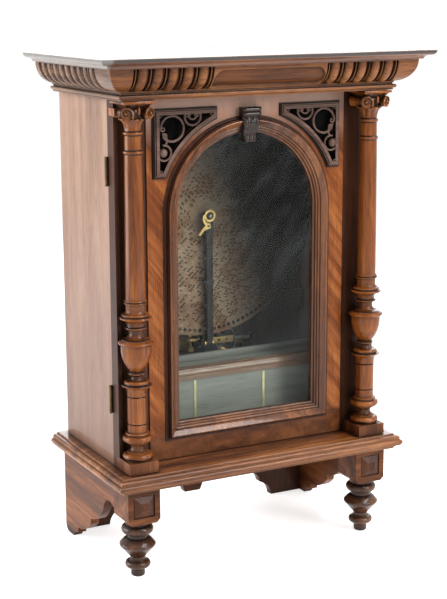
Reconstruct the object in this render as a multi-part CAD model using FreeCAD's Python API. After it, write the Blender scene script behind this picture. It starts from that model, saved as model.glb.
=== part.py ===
"""Upright disc music box in a walnut case, with its wind-up movement.

Frame: millimetres, +Z up, the front faces -Y, X = 0 is the middle plane, and the
origin is the middle of the outline on the floor.
"""
import FreeCAD, Part
import os
from math import atan2, cos, degrees, pi, radians, sin, sqrt

V = FreeCAD.Vector

# ---------------------------------------------------------------- driving sizes
# Case, upwards from the floor
overall_height = 978.0
overall_depth = 381.0         # front edge of the cornice to its back
disc_room = 12.0              # between the disc's rim and the case sides
side_inset = 2.0              # case sides stand this far inside the door's edges
back_inset = 12.0             # case back stands this far inside the mouldings
wall = 18.0
back_wall = 10.0
base_top = 212.0              # where the case and the door stand
base_thick = 31.0
foot_height = 112.0

# Cornice: reach beyond the front width, and the heights of its members
cornice_reach = 65.0
corner_proud = 41.0           # how far the front mouldings stand before the door
top_edge = 3.0                # worn square edge of the top
ogee_height = 14.0
ogee_reach = 46.5
fillet_height = 2.0
fillet_reach = 40.5
ovolo_height = 41.0
ovolo_foot = 4.0
bead_reach = 11.0
bead_height = 16.0
frieze_wall = 22.0
soffit = 12.0

# Base moulding
base_reach = 31.0
base_flat = 16.0
base_nose = 5.5

# Feet
block_size = 66.0
block_proud = 4.0
block_panel = 44.0
block_sink = 3.0
block_bevel = 7.0
apron_wall = 18.0
leg_width = 74.0

# Door
door_gap = 1.0
door_thick = 27.0
stile_wide = 69.0             # door edge to panel
panel_sink = 10.0             # panel face behind the door's edge lips
lip = 8.0
stile_sink = 13.0
panel_rim = 32.0              # panel showing beside the arch moulding
sight_drop = 69.0             # foot of the glass above the foot of the door
arch_head = 72.0              # crown of the glass below the top of the door
frame_width = 33.0            # arch moulding, sight edge to outer foot
frame_proud = 12.5
glass_thick = 3.0
glass_lap = 8.0
rebate_back = 6.0

# Pierced spandrels
fret_edge = 11.5              # fret to the side of the panel
fret_foot_turn = 22.2         # degrees up the arch where the curved side starts
fret_tip_turn = 69.2          # degrees up the arch where the curved side ends
fret_short = 23.8             # short upright side next to the arch
fret_gap = 8.0                # between the arch moulding and the fret
fret_splay = 6.0
fret_proud = 9.5
fret_band = 7.0
fret_thick = 6.0

# Keystone
key_width = 38.0
key_head = 23.0               # top of the keystone below the top of the door
key_lap = 17.0                # foot of the keystone below the crown of the glass
key_proud = 18.0

# Columns
plinth_size = 58.5
plinth_height = 21.0
shaft_drop = 92.0             # top of the shaft below the top of the door
low_turning = 320.0           # base, drum, urn and vase under the shaft
abacus_size = 62.0
abacus_thick = 5.0
volute_radius = 10.0
volute_width = 9.0
volute_spread = 21.0          # centre of a volute from the column's axis, both ways
volute_turn = 25.0            # outward turn of a volute from square to the front

# Lock
lock_width = 30.0
lock_thick = 13.0
lock_tall = 62.0
bolt_throw = 4.0
keep_play = 0.5               # thrown bolt to the keep's plate
keep_plate = 1.5
keep_lip = 2.0
keep_tall = 34.0

# Hinges
hinge_radius = 3.0
hinge_pin_radius = 1.5
hinge_length = 54.0
hinge_leaf = 1.5
hinge_leaf_width = 16.0
hinge_inset = 130.0           # middle of a hinge from the end of the door
fit = 0.05                    # running fit on the radius
clear = 0.4                   # between parts that only pass each other

# Disc and its drive
disc_diameter = 498.0
disc_thick = 0.8
disc_head = 252.4             # disc's centre below the top of the door
disc_to_back = 76.0           # disc face to the back of the case
drive_holes = 132
drive_hole_size = 5.4
drive_hole_inset = 10.5
spindle_radius = 7.0
sprocket_teeth = 12
sprocket_offset = 26.5        # sprocket axis left of the middle
pin_radius = 1.5

# Pressure bar
roller_radius = 8.0
roller_thick = 4.0
roller_last = 14.4            # lowest roller above the disc's lower edge
roller_first = 38.6           # top roller below the disc's centre
roller_count = 5
bar_width = 13.0
bar_web = 2.0
bar_eye_thick = 4.0
bar_pivot_drop = 15.0         # bar hinge below the disc's rim

# Comb and star wheels
star_radius = 9.0
star_points = 8
star_count = 15
star_pitch = 11.0
star_thick = 2.0
star_first = 46.0             # top star wheel below the disc's centre
comb_width = 62.0
comb_thick = 2.5
comb_teeth = 20
bedplate_setback = 47.0       # bedplate face behind the disc's face
bedplate_thick = 7.0
bedplate_width = 300.0
bedplate_foot = 4.4           # foot of the bedplate above the disc's lowest point
bedplate_head = 93.4          # top of the bedplate above the disc's centre

# Spring motor
gear_module = 2.0
great_teeth = 64
great_pinion_teeth = 16
crown_module = 1.2
crown_teeth = 32
crown_pinion_teeth = 16
fan_module = 1.0
fan_wheel_teeth = 44
fan_pinion_teeth = 12
fan_wheel_offset = 20.0         # fan wheel right of the barrel's left end
crown_drop = 22.577           # crown wheel's rim below the sprocket's wheel
barrel_radius = 54.0
barrel_left = 46.0
barrel_right = 108.0
barrel_to_back = 77.5         # barrel axis to the back of the case
arbor_radius = 6.0
motor_left = 27.0
motor_right = 112.0
plate_thick = 4.0
fan_radius = 15.0

# Winding crank
crank_throw = 88.0
crank_reach = 40.0            # arm beyond the case side
grip_length = 24.0
grip_radius = 10.0

# Shelf and lower compartment
rail_gap = 32.6               # front rail below the disc's lowest point
rail_height = 26.0
rail_setback = 78.0
shelf_depth = 48.0
shelf_thick = 8.0
ledge_height = 12.0

# ---------------------------------------------------------------- shared places
side_width = disc_diameter + 2 * (disc_room + wall)
front_width = side_width + 2 * side_inset
half = front_width / 2
front = -overall_depth / 2 + cornice_reach + corner_proud
back = overall_depth / 2
case_back = back - back_inset
side_face = half - side_inset
inner = side_face - wall
slab_bottom = overall_height - top_edge - ogee_height - fillet_height
ovolo_bottom = slab_bottom - ovolo_height
case_top = ovolo_bottom - bead_height
door_bottom = base_top + door_gap
door_top = case_top - door_gap
seam = front + door_thick
panel_face = front + panel_sink
base_bottom = base_top - base_thick
disc_radius = disc_diameter / 2
disc_face = case_back - disc_to_back
disc_back = disc_face + disc_thick
panel_half = half - stile_wide
sight_half = panel_half - panel_rim - frame_width
arch_spring = door_top - arch_head - sight_half
sight_bottom = door_bottom + sight_drop
disc_height = door_top - disc_head
disc_low = disc_height - disc_radius
bar_pivot = disc_low - bar_pivot_drop
rail_top = disc_low - rail_gap
bedplate_bottom = disc_low + bedplate_foot
bedplate_top = disc_height + bedplate_head
barrel_y = case_back - barrel_to_back
fret_radius = sight_half + frame_width + fret_gap
fret_outer = panel_half - fret_edge
fret_inner = fret_radius * cos(radians(fret_tip_turn))
fret_top = arch_spring + fret_radius * sin(radians(fret_tip_turn)) + fret_short
fret_bottom = arch_spring + fret_radius * sin(radians(fret_foot_turn))
key_top = door_top - key_head
key_bottom = arch_spring + sight_half - key_lap
shaft_top = door_top - shaft_drop
lock_height = (door_bottom + door_top) / 2 - 1
lock_inset = bolt_throw + keep_play + keep_plate
bed_face = disc_face + bedplate_setback


# ---------------------------------------------------------------- helpers
def box(x0, x1, y0, y1, z0, z1):
    """Box between two corners."""
    return Part.makeBox(x1 - x0, y1 - y0, z1 - z0, V(x0, y0, z0))


def rod(axis, centre, radius, length):
    """Cylinder from a point along an axis named x, y or z."""
    way = {"x": V(1, 0, 0), "y": V(0, 1, 0), "z": V(0, 0, 1)}[axis]
    return Part.makeCylinder(radius, length, V(*centre), way)


def outline(steps, plane):
    """Closed face from a start point and steps.

    A step is ("to", u, v) or ("arc", u_mid, v_mid, u, v); plane(u, v) gives the point.
    """
    start = steps[0][1:]
    here = start
    edges = []
    for step in steps[1:] + [("to",) + tuple(start)]:
        there = step[-2:]
        if abs(there[0] - here[0]) + abs(there[1] - here[1]) < 1e-6:
            continue
        if step[0] == "arc":
            arc = Part.Arc(plane(*here), plane(*step[1:3]), plane(*there))
            edges.append(arc.toShape())
        else:
            edges.append(Part.LineSegment(plane(*here), plane(*there)).toShape())
        here = there
    return Part.Face(Part.Wire(edges))


def extrude(steps, plane, way):
    """Outline pushed along a vector."""
    return outline(steps, plane).extrude(V(*way))


def prism_z(points, z0, z1):
    """Polygon in plan, between two heights."""
    steps = [("to",) + tuple(p) for p in points]
    return extrude(steps, lambda x, y: V(x, y, z0), (0, 0, z1 - z0))


def turned(steps, x, y):
    """Turned part: an outline of radius and height, spun about a vertical axis."""
    bottom = steps[0][-1]
    top = steps[-1][-1]
    closed = [("to", 0.0, bottom)] + steps + [("to", 0.0, top)]
    face = outline(closed, lambda r, z: V(x + r, y, z))
    return face.revolve(V(x, y, 0), V(0, 0, 1), 360)


def stretched(steps, wide, tall, base):
    """Outline of radius and height scaled both ways, from a base height."""
    placed = []
    for step in steps:
        numbers = [v * wide if i % 2 == 0 else base + v * tall for i, v in enumerate(step[1:])]
        placed.append((step[0],) + tuple(numbers))
    return placed


def mirrored(shape):
    """The same part on the other side of X = 0."""
    return shape.mirror(V(0, 0, 0), V(1, 0, 0))


def moved(shape, x=0.0, y=0.0, z=0.0):
    copy = shape.copy()
    copy.translate(V(x, y, z))
    return copy


def spun(shape, centre, way, angle):
    copy = shape.copy()
    copy.rotate(V(*centre), V(*way), angle)
    return copy


def joined(shapes):
    """Fuse touching solids into one."""
    shape = shapes[0].multiFuse(shapes[1:]) if len(shapes) > 1 else shapes[0]
    return shape.removeSplitter()


def save(name, shape):
    """Write one named sub-part, as a solid or a group of separate solids."""
    solids = shape.Solids
    shape = solids[0] if len(solids) == 1 else Part.makeCompound(solids)
    if not shape.isValid():
        print("NOT VALID", name)
    shape.exportStep("parts/%s.step" % name)
    print("%-22s %2d solids  %9.1f mm3" % (name, len(solids), shape.Volume))


def save_pair(name, left):
    """Write the left part and its mirror image."""
    save(name + "_left", left)
    save(name + "_right", mirrored(left))


def gear(teeth, module, width, bore, turn):
    """Spur gear about the x axis, from x = 0, with one tooth turned so many degrees from +Y."""
    pitch = teeth * module / 2
    root, tip = pitch - 1.1 * module, pitch + 0.85 * module
    step = 2 * pi / teeth
    points = []
    for i in range(teeth):
        middle = radians(turn) + i * step
        for radius, share in ((root, -0.36), (tip, -0.13), (tip, 0.13), (root, 0.36)):
            angle = middle + share * step
            points.append((radius * cos(angle), radius * sin(angle)))
    steps = [("to",) + p for p in points]
    wheel = extrude(steps, lambda y, z: V(0, y, z), (width, 0, 0))
    return wheel.cut(rod("x", (-1, 0, 0), bore, width + 2))


# ---------------------------------------------------------------- mouldings
def moulding(profile, y_back):
    """Solid board with a moulded edge on the front and both sides, square at the back.

    The profile is a list of steps in reach and height, from its top edge down.
    """
    top, bottom = profile[0][-1], profile[-1][-1]
    lead = front - corner_proud
    to_front = [("to", y_back, bottom), ("to", y_back, top)]
    for step in profile:
        pairs = step[1:]
        placed = [lead - p if i % 2 == 0 else p for i, p in enumerate(pairs)]
        to_front.append((step[0],) + tuple(placed))
    long_x = 2 * (half + cornice_reach + 10)
    run_x = extrude(to_front, lambda y, z: V(-long_x / 2, y, z), (long_x, 0, 0))
    to_side = [("to", 0.0, bottom), ("to", 0.0, top)]
    for step in profile:
        pairs = step[1:]
        placed = [half + p if i % 2 == 0 else p for i, p in enumerate(pairs)]
        to_side.append((step[0],) + tuple(placed))
    y_start = lead - cornice_reach - 10
    right = extrude(to_side, lambda x, z: V(x, y_start, z), (0, y_back - y_start, 0))
    run_y = joined([right, mirrored(right)])
    return run_x.common(run_y)


def ogee(reach0, z0, reach1, z1):
    """Two arcs, round then hollow, from an upper outer point to a lower inner one."""
    reach_mid, z_mid = (reach0 + reach1) / 2, (z0 + z1) / 2
    swell = (z0 - z1) * 0.13
    return [
        ("arc", (reach0 + reach_mid) / 2 + swell * 0.6, (z0 + z_mid) / 2 - swell,
         reach_mid, z_mid),
        ("arc", (reach_mid + reach1) / 2 - swell * 0.6, (z_mid + z1) / 2 + swell,
         reach1, z1),
    ]


def cornice():
    """Top board, and the ovolo frieze with its bead mitred in three lengths."""
    edge_z = overall_height - top_edge
    ogee_z = edge_z - ogee_height
    profile = [("to", cornice_reach, overall_height), ("to", cornice_reach, edge_z)]
    profile += ogee(cornice_reach, edge_z, ogee_reach, ogee_z)
    profile += [("to", ogee_reach, ogee_z), ("to", fillet_reach, ogee_z),
                ("to", fillet_reach, slab_bottom)]
    save("cornice_top", moulding(profile, back))

    bow = sqrt(0.5)
    rise = ovolo_height
    swing = fillet_reach - ovolo_foot
    bead_mid = ovolo_bottom - bead_height * 0.55
    profile = [
        ("to", fillet_reach, slab_bottom),
        ("arc", ovolo_foot + swing * bow, slab_bottom - rise * bow,
         ovolo_foot, ovolo_bottom),
        ("to", ovolo_foot + 2, ovolo_bottom),
        ("to", ovolo_foot + 2, ovolo_bottom - 3),
        ("arc", bead_reach - 4, bead_mid + 4.5, bead_reach - 2, bead_mid + 2.5),
        ("arc", bead_reach, bead_mid, bead_reach - 2, bead_mid - 2.5),
        ("to", bead_reach - 5, bead_mid - 2.5),
        ("to", bead_reach - 5, case_top),
    ]
    ring = moulding(profile, back)
    hollow = box(-inner, inner, front - corner_proud + frieze_wall, back + 1,
                 case_top + soffit, slab_bottom + 1)
    mouth = box(-inner, inner, seam, back + 1, case_top - 1, slab_bottom + 1)
    ring = ring.cut(hollow).cut(mouth)
    lead = front - corner_proud
    far = cornice_reach + 20
    deep = frieze_wall + 60
    wedge = prism_z([(-half - far, lead - far), (half + far, lead - far),
                     (half - deep, lead + deep), (-half + deep, lead + deep)],
                    case_top - 1, slab_bottom + 1)
    save("cornice_front", ring.common(wedge))
    rest = ring.cut(wedge)
    left_half = box(-half - far, 0, lead - far, back + 1, case_top - 1, slab_bottom + 1)
    save_pair("cornice", rest.common(left_half))


def base_board():
    """Board under the case with a fillet, an ogee and a round nose."""
    nose_z = base_top - 18.5
    profile = [
        ("to", base_flat, base_top),
        ("to", base_flat, base_top - 2.5),
        ("arc", base_flat + 2.2, base_top - 7, base_flat + 6.5, base_top - 9),
        ("to", base_reach - 4, nose_z + base_nose),
        ("arc", base_reach, nose_z, base_reach - 4, nose_z - base_nose),
        ("to", base_flat + 2, base_bottom + 3),
        ("to", base_flat + 2, base_bottom),
    ]
    save("base_board", moulding(profile, back))


# ---------------------------------------------------------------- feet
def front_feet():
    """Square block with a raised diamond panel, on a turned foot."""
    x0 = -half - block_proud
    x1 = x0 + block_size
    y0 = front - corner_proud - block_proud
    y1 = y0 + block_size
    block = box(x0, x1, y0, y1, foot_height, base_bottom)
    for edge, way in ((x0, 1), (x1, -1)):
        cut = [("to", edge, foot_height), ("to", edge + way * block_bevel, foot_height),
               ("to", edge, foot_height + block_bevel)]
        block = block.cut(extrude(cut, lambda x, z: V(x, y0 - 1, z), (0, block_size + 2, 0)))
    cx, cz = (x0 + x1) / 2, (foot_height + base_bottom) / 2
    side = block_panel / 2
    block = block.cut(box(cx - side, cx + side, y0 - 1, y0 + block_sink, cz - side, cz + side))
    rim = side - 2.5
    flat = 5.0
    base_square = Part.makePolygon([V(cx + i * rim, y0 + block_sink, cz + k * rim) for i, k in
                                    ((-1, -1), (1, -1), (1, 1), (-1, 1), (-1, -1))])
    top_square = Part.makePolygon([V(cx + i * flat, y0 - 1, cz + k * flat) for i, k in
                                   ((-1, -1), (1, -1), (1, 1), (-1, 1), (-1, -1))])
    raised = Part.makeLoft([base_square, top_square], True, True)
    save_pair("foot_block", joined([block, raised]))

    # radius and height, for a 66 mm block on a 112 mm foot
    foot = [
        ("to", 9.0, 0.0),
        ("arc", 12.2, 1.2, 13.4, 4.0),
        ("to", 13.4, 13.0),
        ("to", 19.0, 17.5),
        ("arc", 24.3, 25.5, 17.0, 31.5),
        ("to", 14.3, 34.0),
        ("to", 14.3, 39.0),
        ("arc", 23.0, 49.0, 33.0, 60.5),
        ("arc", 34.6, 64.0, 33.0, 67.5),
        ("to", 26.0, 75.0),
        ("to", 19.0, 78.5),
        ("to", 19.0, 84.0),
        ("to", 24.0, 86.0),
        ("arc", 30.6, 95.0, 25.5, 102.5),
        ("to", 23.0, 104.0),
        ("to", 24.7, 112.0),
    ]
    foot = stretched(foot, block_size / 66.0, foot_height / 112.0, 0.0)
    save_pair("turned_foot", turned(foot, cx, (y0 + y1) / 2))


def aprons():
    """Side boards with an arched lower edge and a leg at the back, and a shaped back board."""
    x0 = -half - block_proud + 0.5
    x1 = x0 + apron_wall
    y0 = front - corner_proud - block_proud + block_size
    y1 = back - 2
    arch_z = 136.0
    side = [
        ("to", y0, base_bottom),
        ("to", y0, arch_z - 6),
        ("to", y0 + 9, arch_z - 6),
        ("arc", y0 + 26, arch_z, y0 + 48, arch_z - 12),
        ("arc", y0 + 84, arch_z - 56, y0 + 118, arch_z - 68),
        ("to", y0 + 120, arch_z - 80),
        ("arc", y0 + 140, arch_z - 96, y1 - leg_width + 8, 26.0),
        ("to", y1 - leg_width + 10, 14.0),
        ("arc", y1 - leg_width + 22, 12.0, y1 - leg_width + 30, 4.0),
        ("to", y1 - leg_width + 34, 0.0),
        ("to", y1 - 16, 0.0),
        ("arc", y1 - 5, 4.0, y1, 15.0),
        ("to", y1, base_bottom),
    ]
    save_pair("side_apron", extrude(side, lambda y, z: V(x0, y, z), (apron_wall, 0, 0)))

    half_run = [
        ("to", 0.0, 41.0), ("to", 18.0, 41.0), ("to", 26.0, 60.0), ("to", 29.0, 80.0),
        ("arc", 74.0, 114.0, 122.0, 100.0),
        ("arc", 139.0, 80.0, 145.0, 58.0),
        ("to", 153.0, 54.0),
        ("arc", 161.0, 45.0, 165.0, 34.0),
        ("to", 173.0, 30.0),
        ("arc", 186.0, 20.0, 194.0, 0.0),
        ("to", -x1 - 0.5, 0.0), ("to", -x1 - 0.5, base_bottom),
        ("to", 0.0, base_bottom),
    ]
    right = extrude(half_run, lambda x, z: V(x, y1 - apron_wall, z), (0, apron_wall, 0))
    save("back_apron", joined([right, mirrored(right)]))


# ---------------------------------------------------------------- case
def hinge_places():
    return (door_bottom + hinge_inset - 1, door_top - hinge_inset)


def hinge_axis():
    """Plan position of the door's hinge line, outside the left face at the seam."""
    return -half - hinge_radius - clear, seam


def case_panels():
    """Two sides and the back; the left side is let in for the hinge leaves."""
    y0 = seam + clear
    side = box(-side_face, -inner, y0, case_back, base_top, case_top)
    left = side.copy()
    for z in hinge_places():
        left = left.cut(box(-side_face - 1, -side_face + hinge_leaf_width, y0 - 1,
                            y0 + hinge_leaf, z - hinge_length / 2 - clear,
                            z + hinge_length / 2 + clear))
    save("side_panel_left", left)
    right = mirrored(side)
    right = right.cut(rod("x", (inner - 1, barrel_y, barrel_height()), arbor_radius + 3, wall + 2))
    save("side_panel_right", right)
    save("back_panel", box(-inner, inner, case_back - back_wall, case_back, base_top,
                           slab_bottom))


def hinges():
    """Two butt hinges: leaves let into the case and the door, knuckles on a pin."""
    ax, ay = hinge_axis()
    case_side, door_side = [], []
    third = hinge_length / 3
    for z in hinge_places():
        low = z - hinge_length / 2
        y0 = seam + clear
        leaf = box(-side_face, -side_face + hinge_leaf_width - clear, y0 + 0.1,
                   y0 + hinge_leaf, low, low + hinge_length)
        bridge = box(ax, -side_face + 1, y0 + 0.1, y0 + hinge_leaf, low, low + hinge_length)
        middle = box(ax - 5, -half, y0 - 5, y0 + 5, low + third - clear,
                     low + 2 * third + clear)
        knuckles = rod("z", (ax, ay, low), hinge_radius, hinge_length).cut(middle)
        pin = rod("z", (ax, ay, low), hinge_pin_radius, hinge_length)
        strap = box(ax, -half, y0 - 5, y0 + 0.1, low, low + hinge_length)
        body = joined([leaf, bridge.cut(middle), knuckles.cut(strap), pin])
        case_side.append(body)

        door_leaf = box(-half, -half + hinge_leaf_width - clear, seam - hinge_leaf,
                        seam - 0.1, low, low + hinge_length)
        tongue = box(ax, -half + 1, seam - hinge_leaf, seam - 0.1, low + third,
                     low + 2 * third)
        knuckle = rod("z", (ax, ay, low + third), hinge_radius, third)
        bore = rod("z", (ax, ay, low), hinge_pin_radius + fit, hinge_length)
        wide = box(ax, -side_face + 1, y0, y0 + 5, low, low + hinge_length)
        door_side.append(joined([door_leaf, tongue, knuckle]).cut(bore).cut(wide))
    save("case_hinges", Part.makeCompound(case_side))
    save("door_hinges", Part.makeCompound(door_side))


def lower_compartment():
    """Shelf with a moulded front rail and a rear ledge, and the panel that closes below it."""
    y0 = front + rail_setback
    y1 = y0 + 14
    bottom = rail_top - rail_height
    rail = [
        ("to", y1, bottom), ("to", y1, rail_top), ("to", y0 + 5, rail_top),
        ("arc", y0 + 0.6, rail_top - 2.6, y0 + 1.0, rail_top - 7),
        ("arc", y0 + 4.5, rail_top - 12, y0 + 4.0, rail_top - 17),
        ("arc", y0 + 0.6, rail_top - 21, y0 + 3.0, bottom),
    ]
    save("front_rail", extrude(rail, lambda y, z: V(-inner, y, z), (2 * inner, 0, 0)))
    z1 = rail_top - 2
    shelf = box(-inner, inner, y1, y1 + shelf_depth, z1 - shelf_thick, z1)
    ledge = box(-inner, inner, y1 + shelf_depth - 8, y1 + shelf_depth, z1, z1 + ledge_height)
    save("shelf", joined([shelf, ledge]))
    save("lower_panel", box(-inner, inner, y1 - 6, y1, base_top, bottom))


def bed_rails():
    """Two cross rails that carry the bedplate from the case sides."""
    y0 = bed_face + bedplate_thick
    y1 = case_back - back_wall
    low = box(-inner, inner, y0, y1, bedplate_bottom + 16, bedplate_bottom + 56)
    high = box(-inner, inner, y0, y1, bedplate_top - 52, bedplate_top - 12)
    save("bed_rails", Part.makeCompound([low, high]))


# ---------------------------------------------------------------- door
def arch_face(grow, y):
    """Face of the arched opening, grown by a margin, in the plane at y."""
    w = sight_half + grow
    z0 = sight_bottom - grow
    steps = [("to", -w, z0), ("to", w, z0), ("to", w, arch_spring),
             ("arc", 0.0, arch_spring + w, -w, arch_spring)]
    return outline(steps, lambda x, z: V(x, y, z))


def fret_face(margin, y):
    """Face of the left spandrel, grown by a margin, in the plane at y."""
    arc_radius = fret_radius - margin
    x0, x1 = -fret_outer - margin, -fret_inner + margin
    z0, z1 = fret_bottom - margin, fret_top + margin
    z_in = arch_spring + sqrt(arc_radius ** 2 - x1 ** 2)
    x_low = -sqrt(arc_radius ** 2 - (z0 - arch_spring) ** 2)
    mid = radians(135) + 0.02
    steps = [
        ("to", x0, z0), ("to", x_low, z0),
        ("arc", arc_radius * cos(mid), arch_spring + arc_radius * sin(mid), x1, z_in),
        ("to", x1, z1), ("to", x0, z1),
    ]
    return outline(steps, lambda x, z: V(x, y, z))


def door_panel():
    """Veneered panel with the arched opening, its rebate, and the two spandrel openings."""
    w = panel_half
    panel = box(-w, w, panel_face, seam, door_bottom, door_top)
    glass_y = glass_front()
    panel = panel.cut(arch_face(glass_lap + 2, panel_face - 1).extrude(
        V(0, glass_y + glass_thick - panel_face + 1, 0)))
    panel = panel.cut(arch_face(0, panel_face - 1).extrude(V(0, door_thick + 2, 0)))
    hole = fret_face(-fret_splay - fret_band + 2, panel_face - 1).extrude(V(0, 8, 0))
    panel = panel.cut(hole).cut(mirrored(hole))
    save("door_panel", panel)


def glass_front():
    return seam - rebate_back - glass_thick


def door_stiles():
    """Side stiles, each with a lip at the outer edge, set back behind the columns."""
    w = panel_half
    lip_board = box(-half, -half + lip, front, seam, door_bottom, door_top)
    board = box(-half + lip, -w, front + stile_sink, seam, door_bottom, door_top)
    left = joined([lip_board, board]).cut(column_plinth()).cut(column()).cut(capital())
    right = mirrored(left)
    for z in hinge_places():
        left = left.cut(box(-half - 1, -half + hinge_leaf_width, seam - hinge_leaf, seam + 1,
                            z - hinge_length / 2 - clear, z + hinge_length / 2 + clear))
    save("door_stile_left", left)
    save("door_stile_right", right)


def arch_moulding():
    """Bolection moulding: steps at the glass, a round crest, and a hollow outer side."""
    glass_y = glass_front()
    crest = panel_face - frame_proud
    foot = frame_width
    # reach from the sight edge, and depth
    profile = [
        ("to", 0.0, glass_y),
        ("to", 0.0, glass_y - 2.0),
        ("to", 4.0, glass_y - 3.5),
        ("to", 4.0, glass_y - 6.5),
        ("to", 8.5, glass_y - 8.0),
        ("to", 8.5, crest + 6.0),
        ("arc", 15.5, crest, 22.5, crest + 2.5),
        ("to", 22.5, crest + 5.0),
        ("arc", 25.5, crest + 9.0, foot, panel_face - 1.5),
        ("to", foot, panel_face),
        ("to", glass_lap + 2, panel_face),
        ("to", glass_lap + 2, glass_y),
    ]
    top = outline(profile, lambda u, y: V(sight_half + u, y, arch_spring))
    top = top.revolve(V(0, 0, arch_spring), V(0, -1, 0), 180)
    low = sight_bottom - foot - 1
    side = outline(profile, lambda u, y: V(-sight_half - u, y, low))
    side = side.extrude(V(0, 0, arch_spring - low))
    sill = outline(profile, lambda u, y: V(-half, y, sight_bottom - u))
    sill = sill.extrude(V(2 * half, 0, 0))
    reach = foot + 5
    corner = [("to", -sight_half, sight_bottom), ("to", -sight_half - reach, sight_bottom - reach),
              ("to", -sight_half - reach, arch_spring + 1), ("to", -sight_half, arch_spring + 1)]
    keep_side = extrude(corner, lambda x, z: V(x, front - 50, z), (0, 100, 0))
    corner = [("to", -sight_half, sight_bottom), ("to", sight_half, sight_bottom),
              ("to", sight_half + reach, sight_bottom - reach),
              ("to", -sight_half - reach, sight_bottom - reach)]
    keep_sill = extrude(corner, lambda x, z: V(x, front - 50, z), (0, 100, 0))
    left = side.common(keep_side)
    whole = joined([top, left, mirrored(left), sill.common(keep_sill)])
    save("arch_moulding", whole.cut(keystone_solid(0.0)))


def door_glass():
    save("door_glass", arch_face(glass_lap, glass_front()).extrude(V(0, glass_thick, 0)))


def keystone_solid(grow):
    """Scrolled keystone: two rolls at the head, and a body that tapers and curls in."""
    w = key_width / 2 + grow
    face = panel_face - key_proud
    height = key_top - key_bottom
    side = [
        ("to", panel_face, key_bottom),
        ("to", panel_face, key_top),
        ("to", face + 2, key_top),
        ("arc", face - 2.5, key_top - 4.5, face + 1.5, key_top - 9),
        ("arc", face - 1.5, key_top - 13, face + 2, key_top - 17),
        ("to", face + 4, key_top - 19),
        ("arc", face + 0.5, key_top - 0.45 * height, face + 5, key_top - 0.62 * height),
        ("arc", face + 9, key_bottom + 14, face + 6, key_bottom + 4),
        ("to", face + 8, key_bottom),
    ]
    solid = extrude(side, lambda y, z: V(-w, y, z), (2 * w, 0, 0))
    low_w = w * 0.62
    for way in (-1, 1):
        taper = [("to", way * w, key_top - 19), ("to", way * low_w, key_bottom - 1),
                 ("to", way * (w + 5), key_bottom - 1), ("to", way * (w + 5), key_top - 19)]
        solid = solid.cut(extrude(taper, lambda x, z: V(x, face - 10, z), (0, key_proud + 30, 0)))
    return solid


def scroll(cx, cz, radius, start, sweep, width, y0, depth):
    """Flat scroll: a ring cut open, centred in the plane at y0."""
    ring = rod("y", (cx, y0, cz), radius, depth).cut(rod("y", (cx, y0 - 1, cz), radius - width,
                                                        depth + 2))
    far = 2 * radius
    a0, a1 = radians(start), radians(start + sweep)
    points = [V(cx, y0 - 1, cz)]
    steps = max(2, int(sweep / 60) + 1)
    for i in range(steps + 1):
        angle = a0 + (a1 - a0) * i / steps
        points.append(V(cx + far * cos(angle), y0 - 1, cz + far * sin(angle)))
    points.append(points[0])
    return ring.common(Part.Face(Part.makePolygon(points)).extrude(V(0, depth + 2, 0)))


def fret():
    """Spandrel fret: a splayed frame with open scrolls inside."""
    y_front = panel_face - fret_proud
    outer = Part.makeLoft([fret_face(0, panel_face).OuterWire,
                           fret_face(-fret_splay, y_front).OuterWire], True, True)
    inside = fret_face(-fret_splay - fret_band, y_front - 1).extrude(V(0, fret_proud + 2, 0))
    frame = outer.cut(inside)
    y1 = y_front + 1.5
    in_x, in_z = fret_outer - fret_splay, fret_top - fret_splay
    big = scroll(-in_x + 33.0, in_z - 32.5, 26.0, -50, 275, 5.0, y1, fret_thick)
    small = scroll(-fret_inner - 50.0, in_z - 17.0, 17.5, 150, 240, 4.0, y1, fret_thick)
    low = scroll(-in_x + 17.5, in_z - 78.0, 16.0, 100, 260, 4.0, y1, fret_thick)
    boss = rod("y", (-in_x + 13.5, y1 - 1, in_z - 80.0), 7.5, fret_thick + 1)
    link = box(-in_x + 11, -in_x + 17, y1, y1 + fret_thick, in_z - 66, in_z - 46)
    save_pair("spandrel_fret", joined([frame, big, small, low, boss, link]))


def column_axis():
    size = plinth_size / 2
    return -half + size, front + panel_sink - size


def column_plinth():
    x, y = column_axis()
    size = plinth_size / 2
    return box(x - size, x + size, y - size, y + size, door_bottom, door_bottom + plinth_height)


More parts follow.
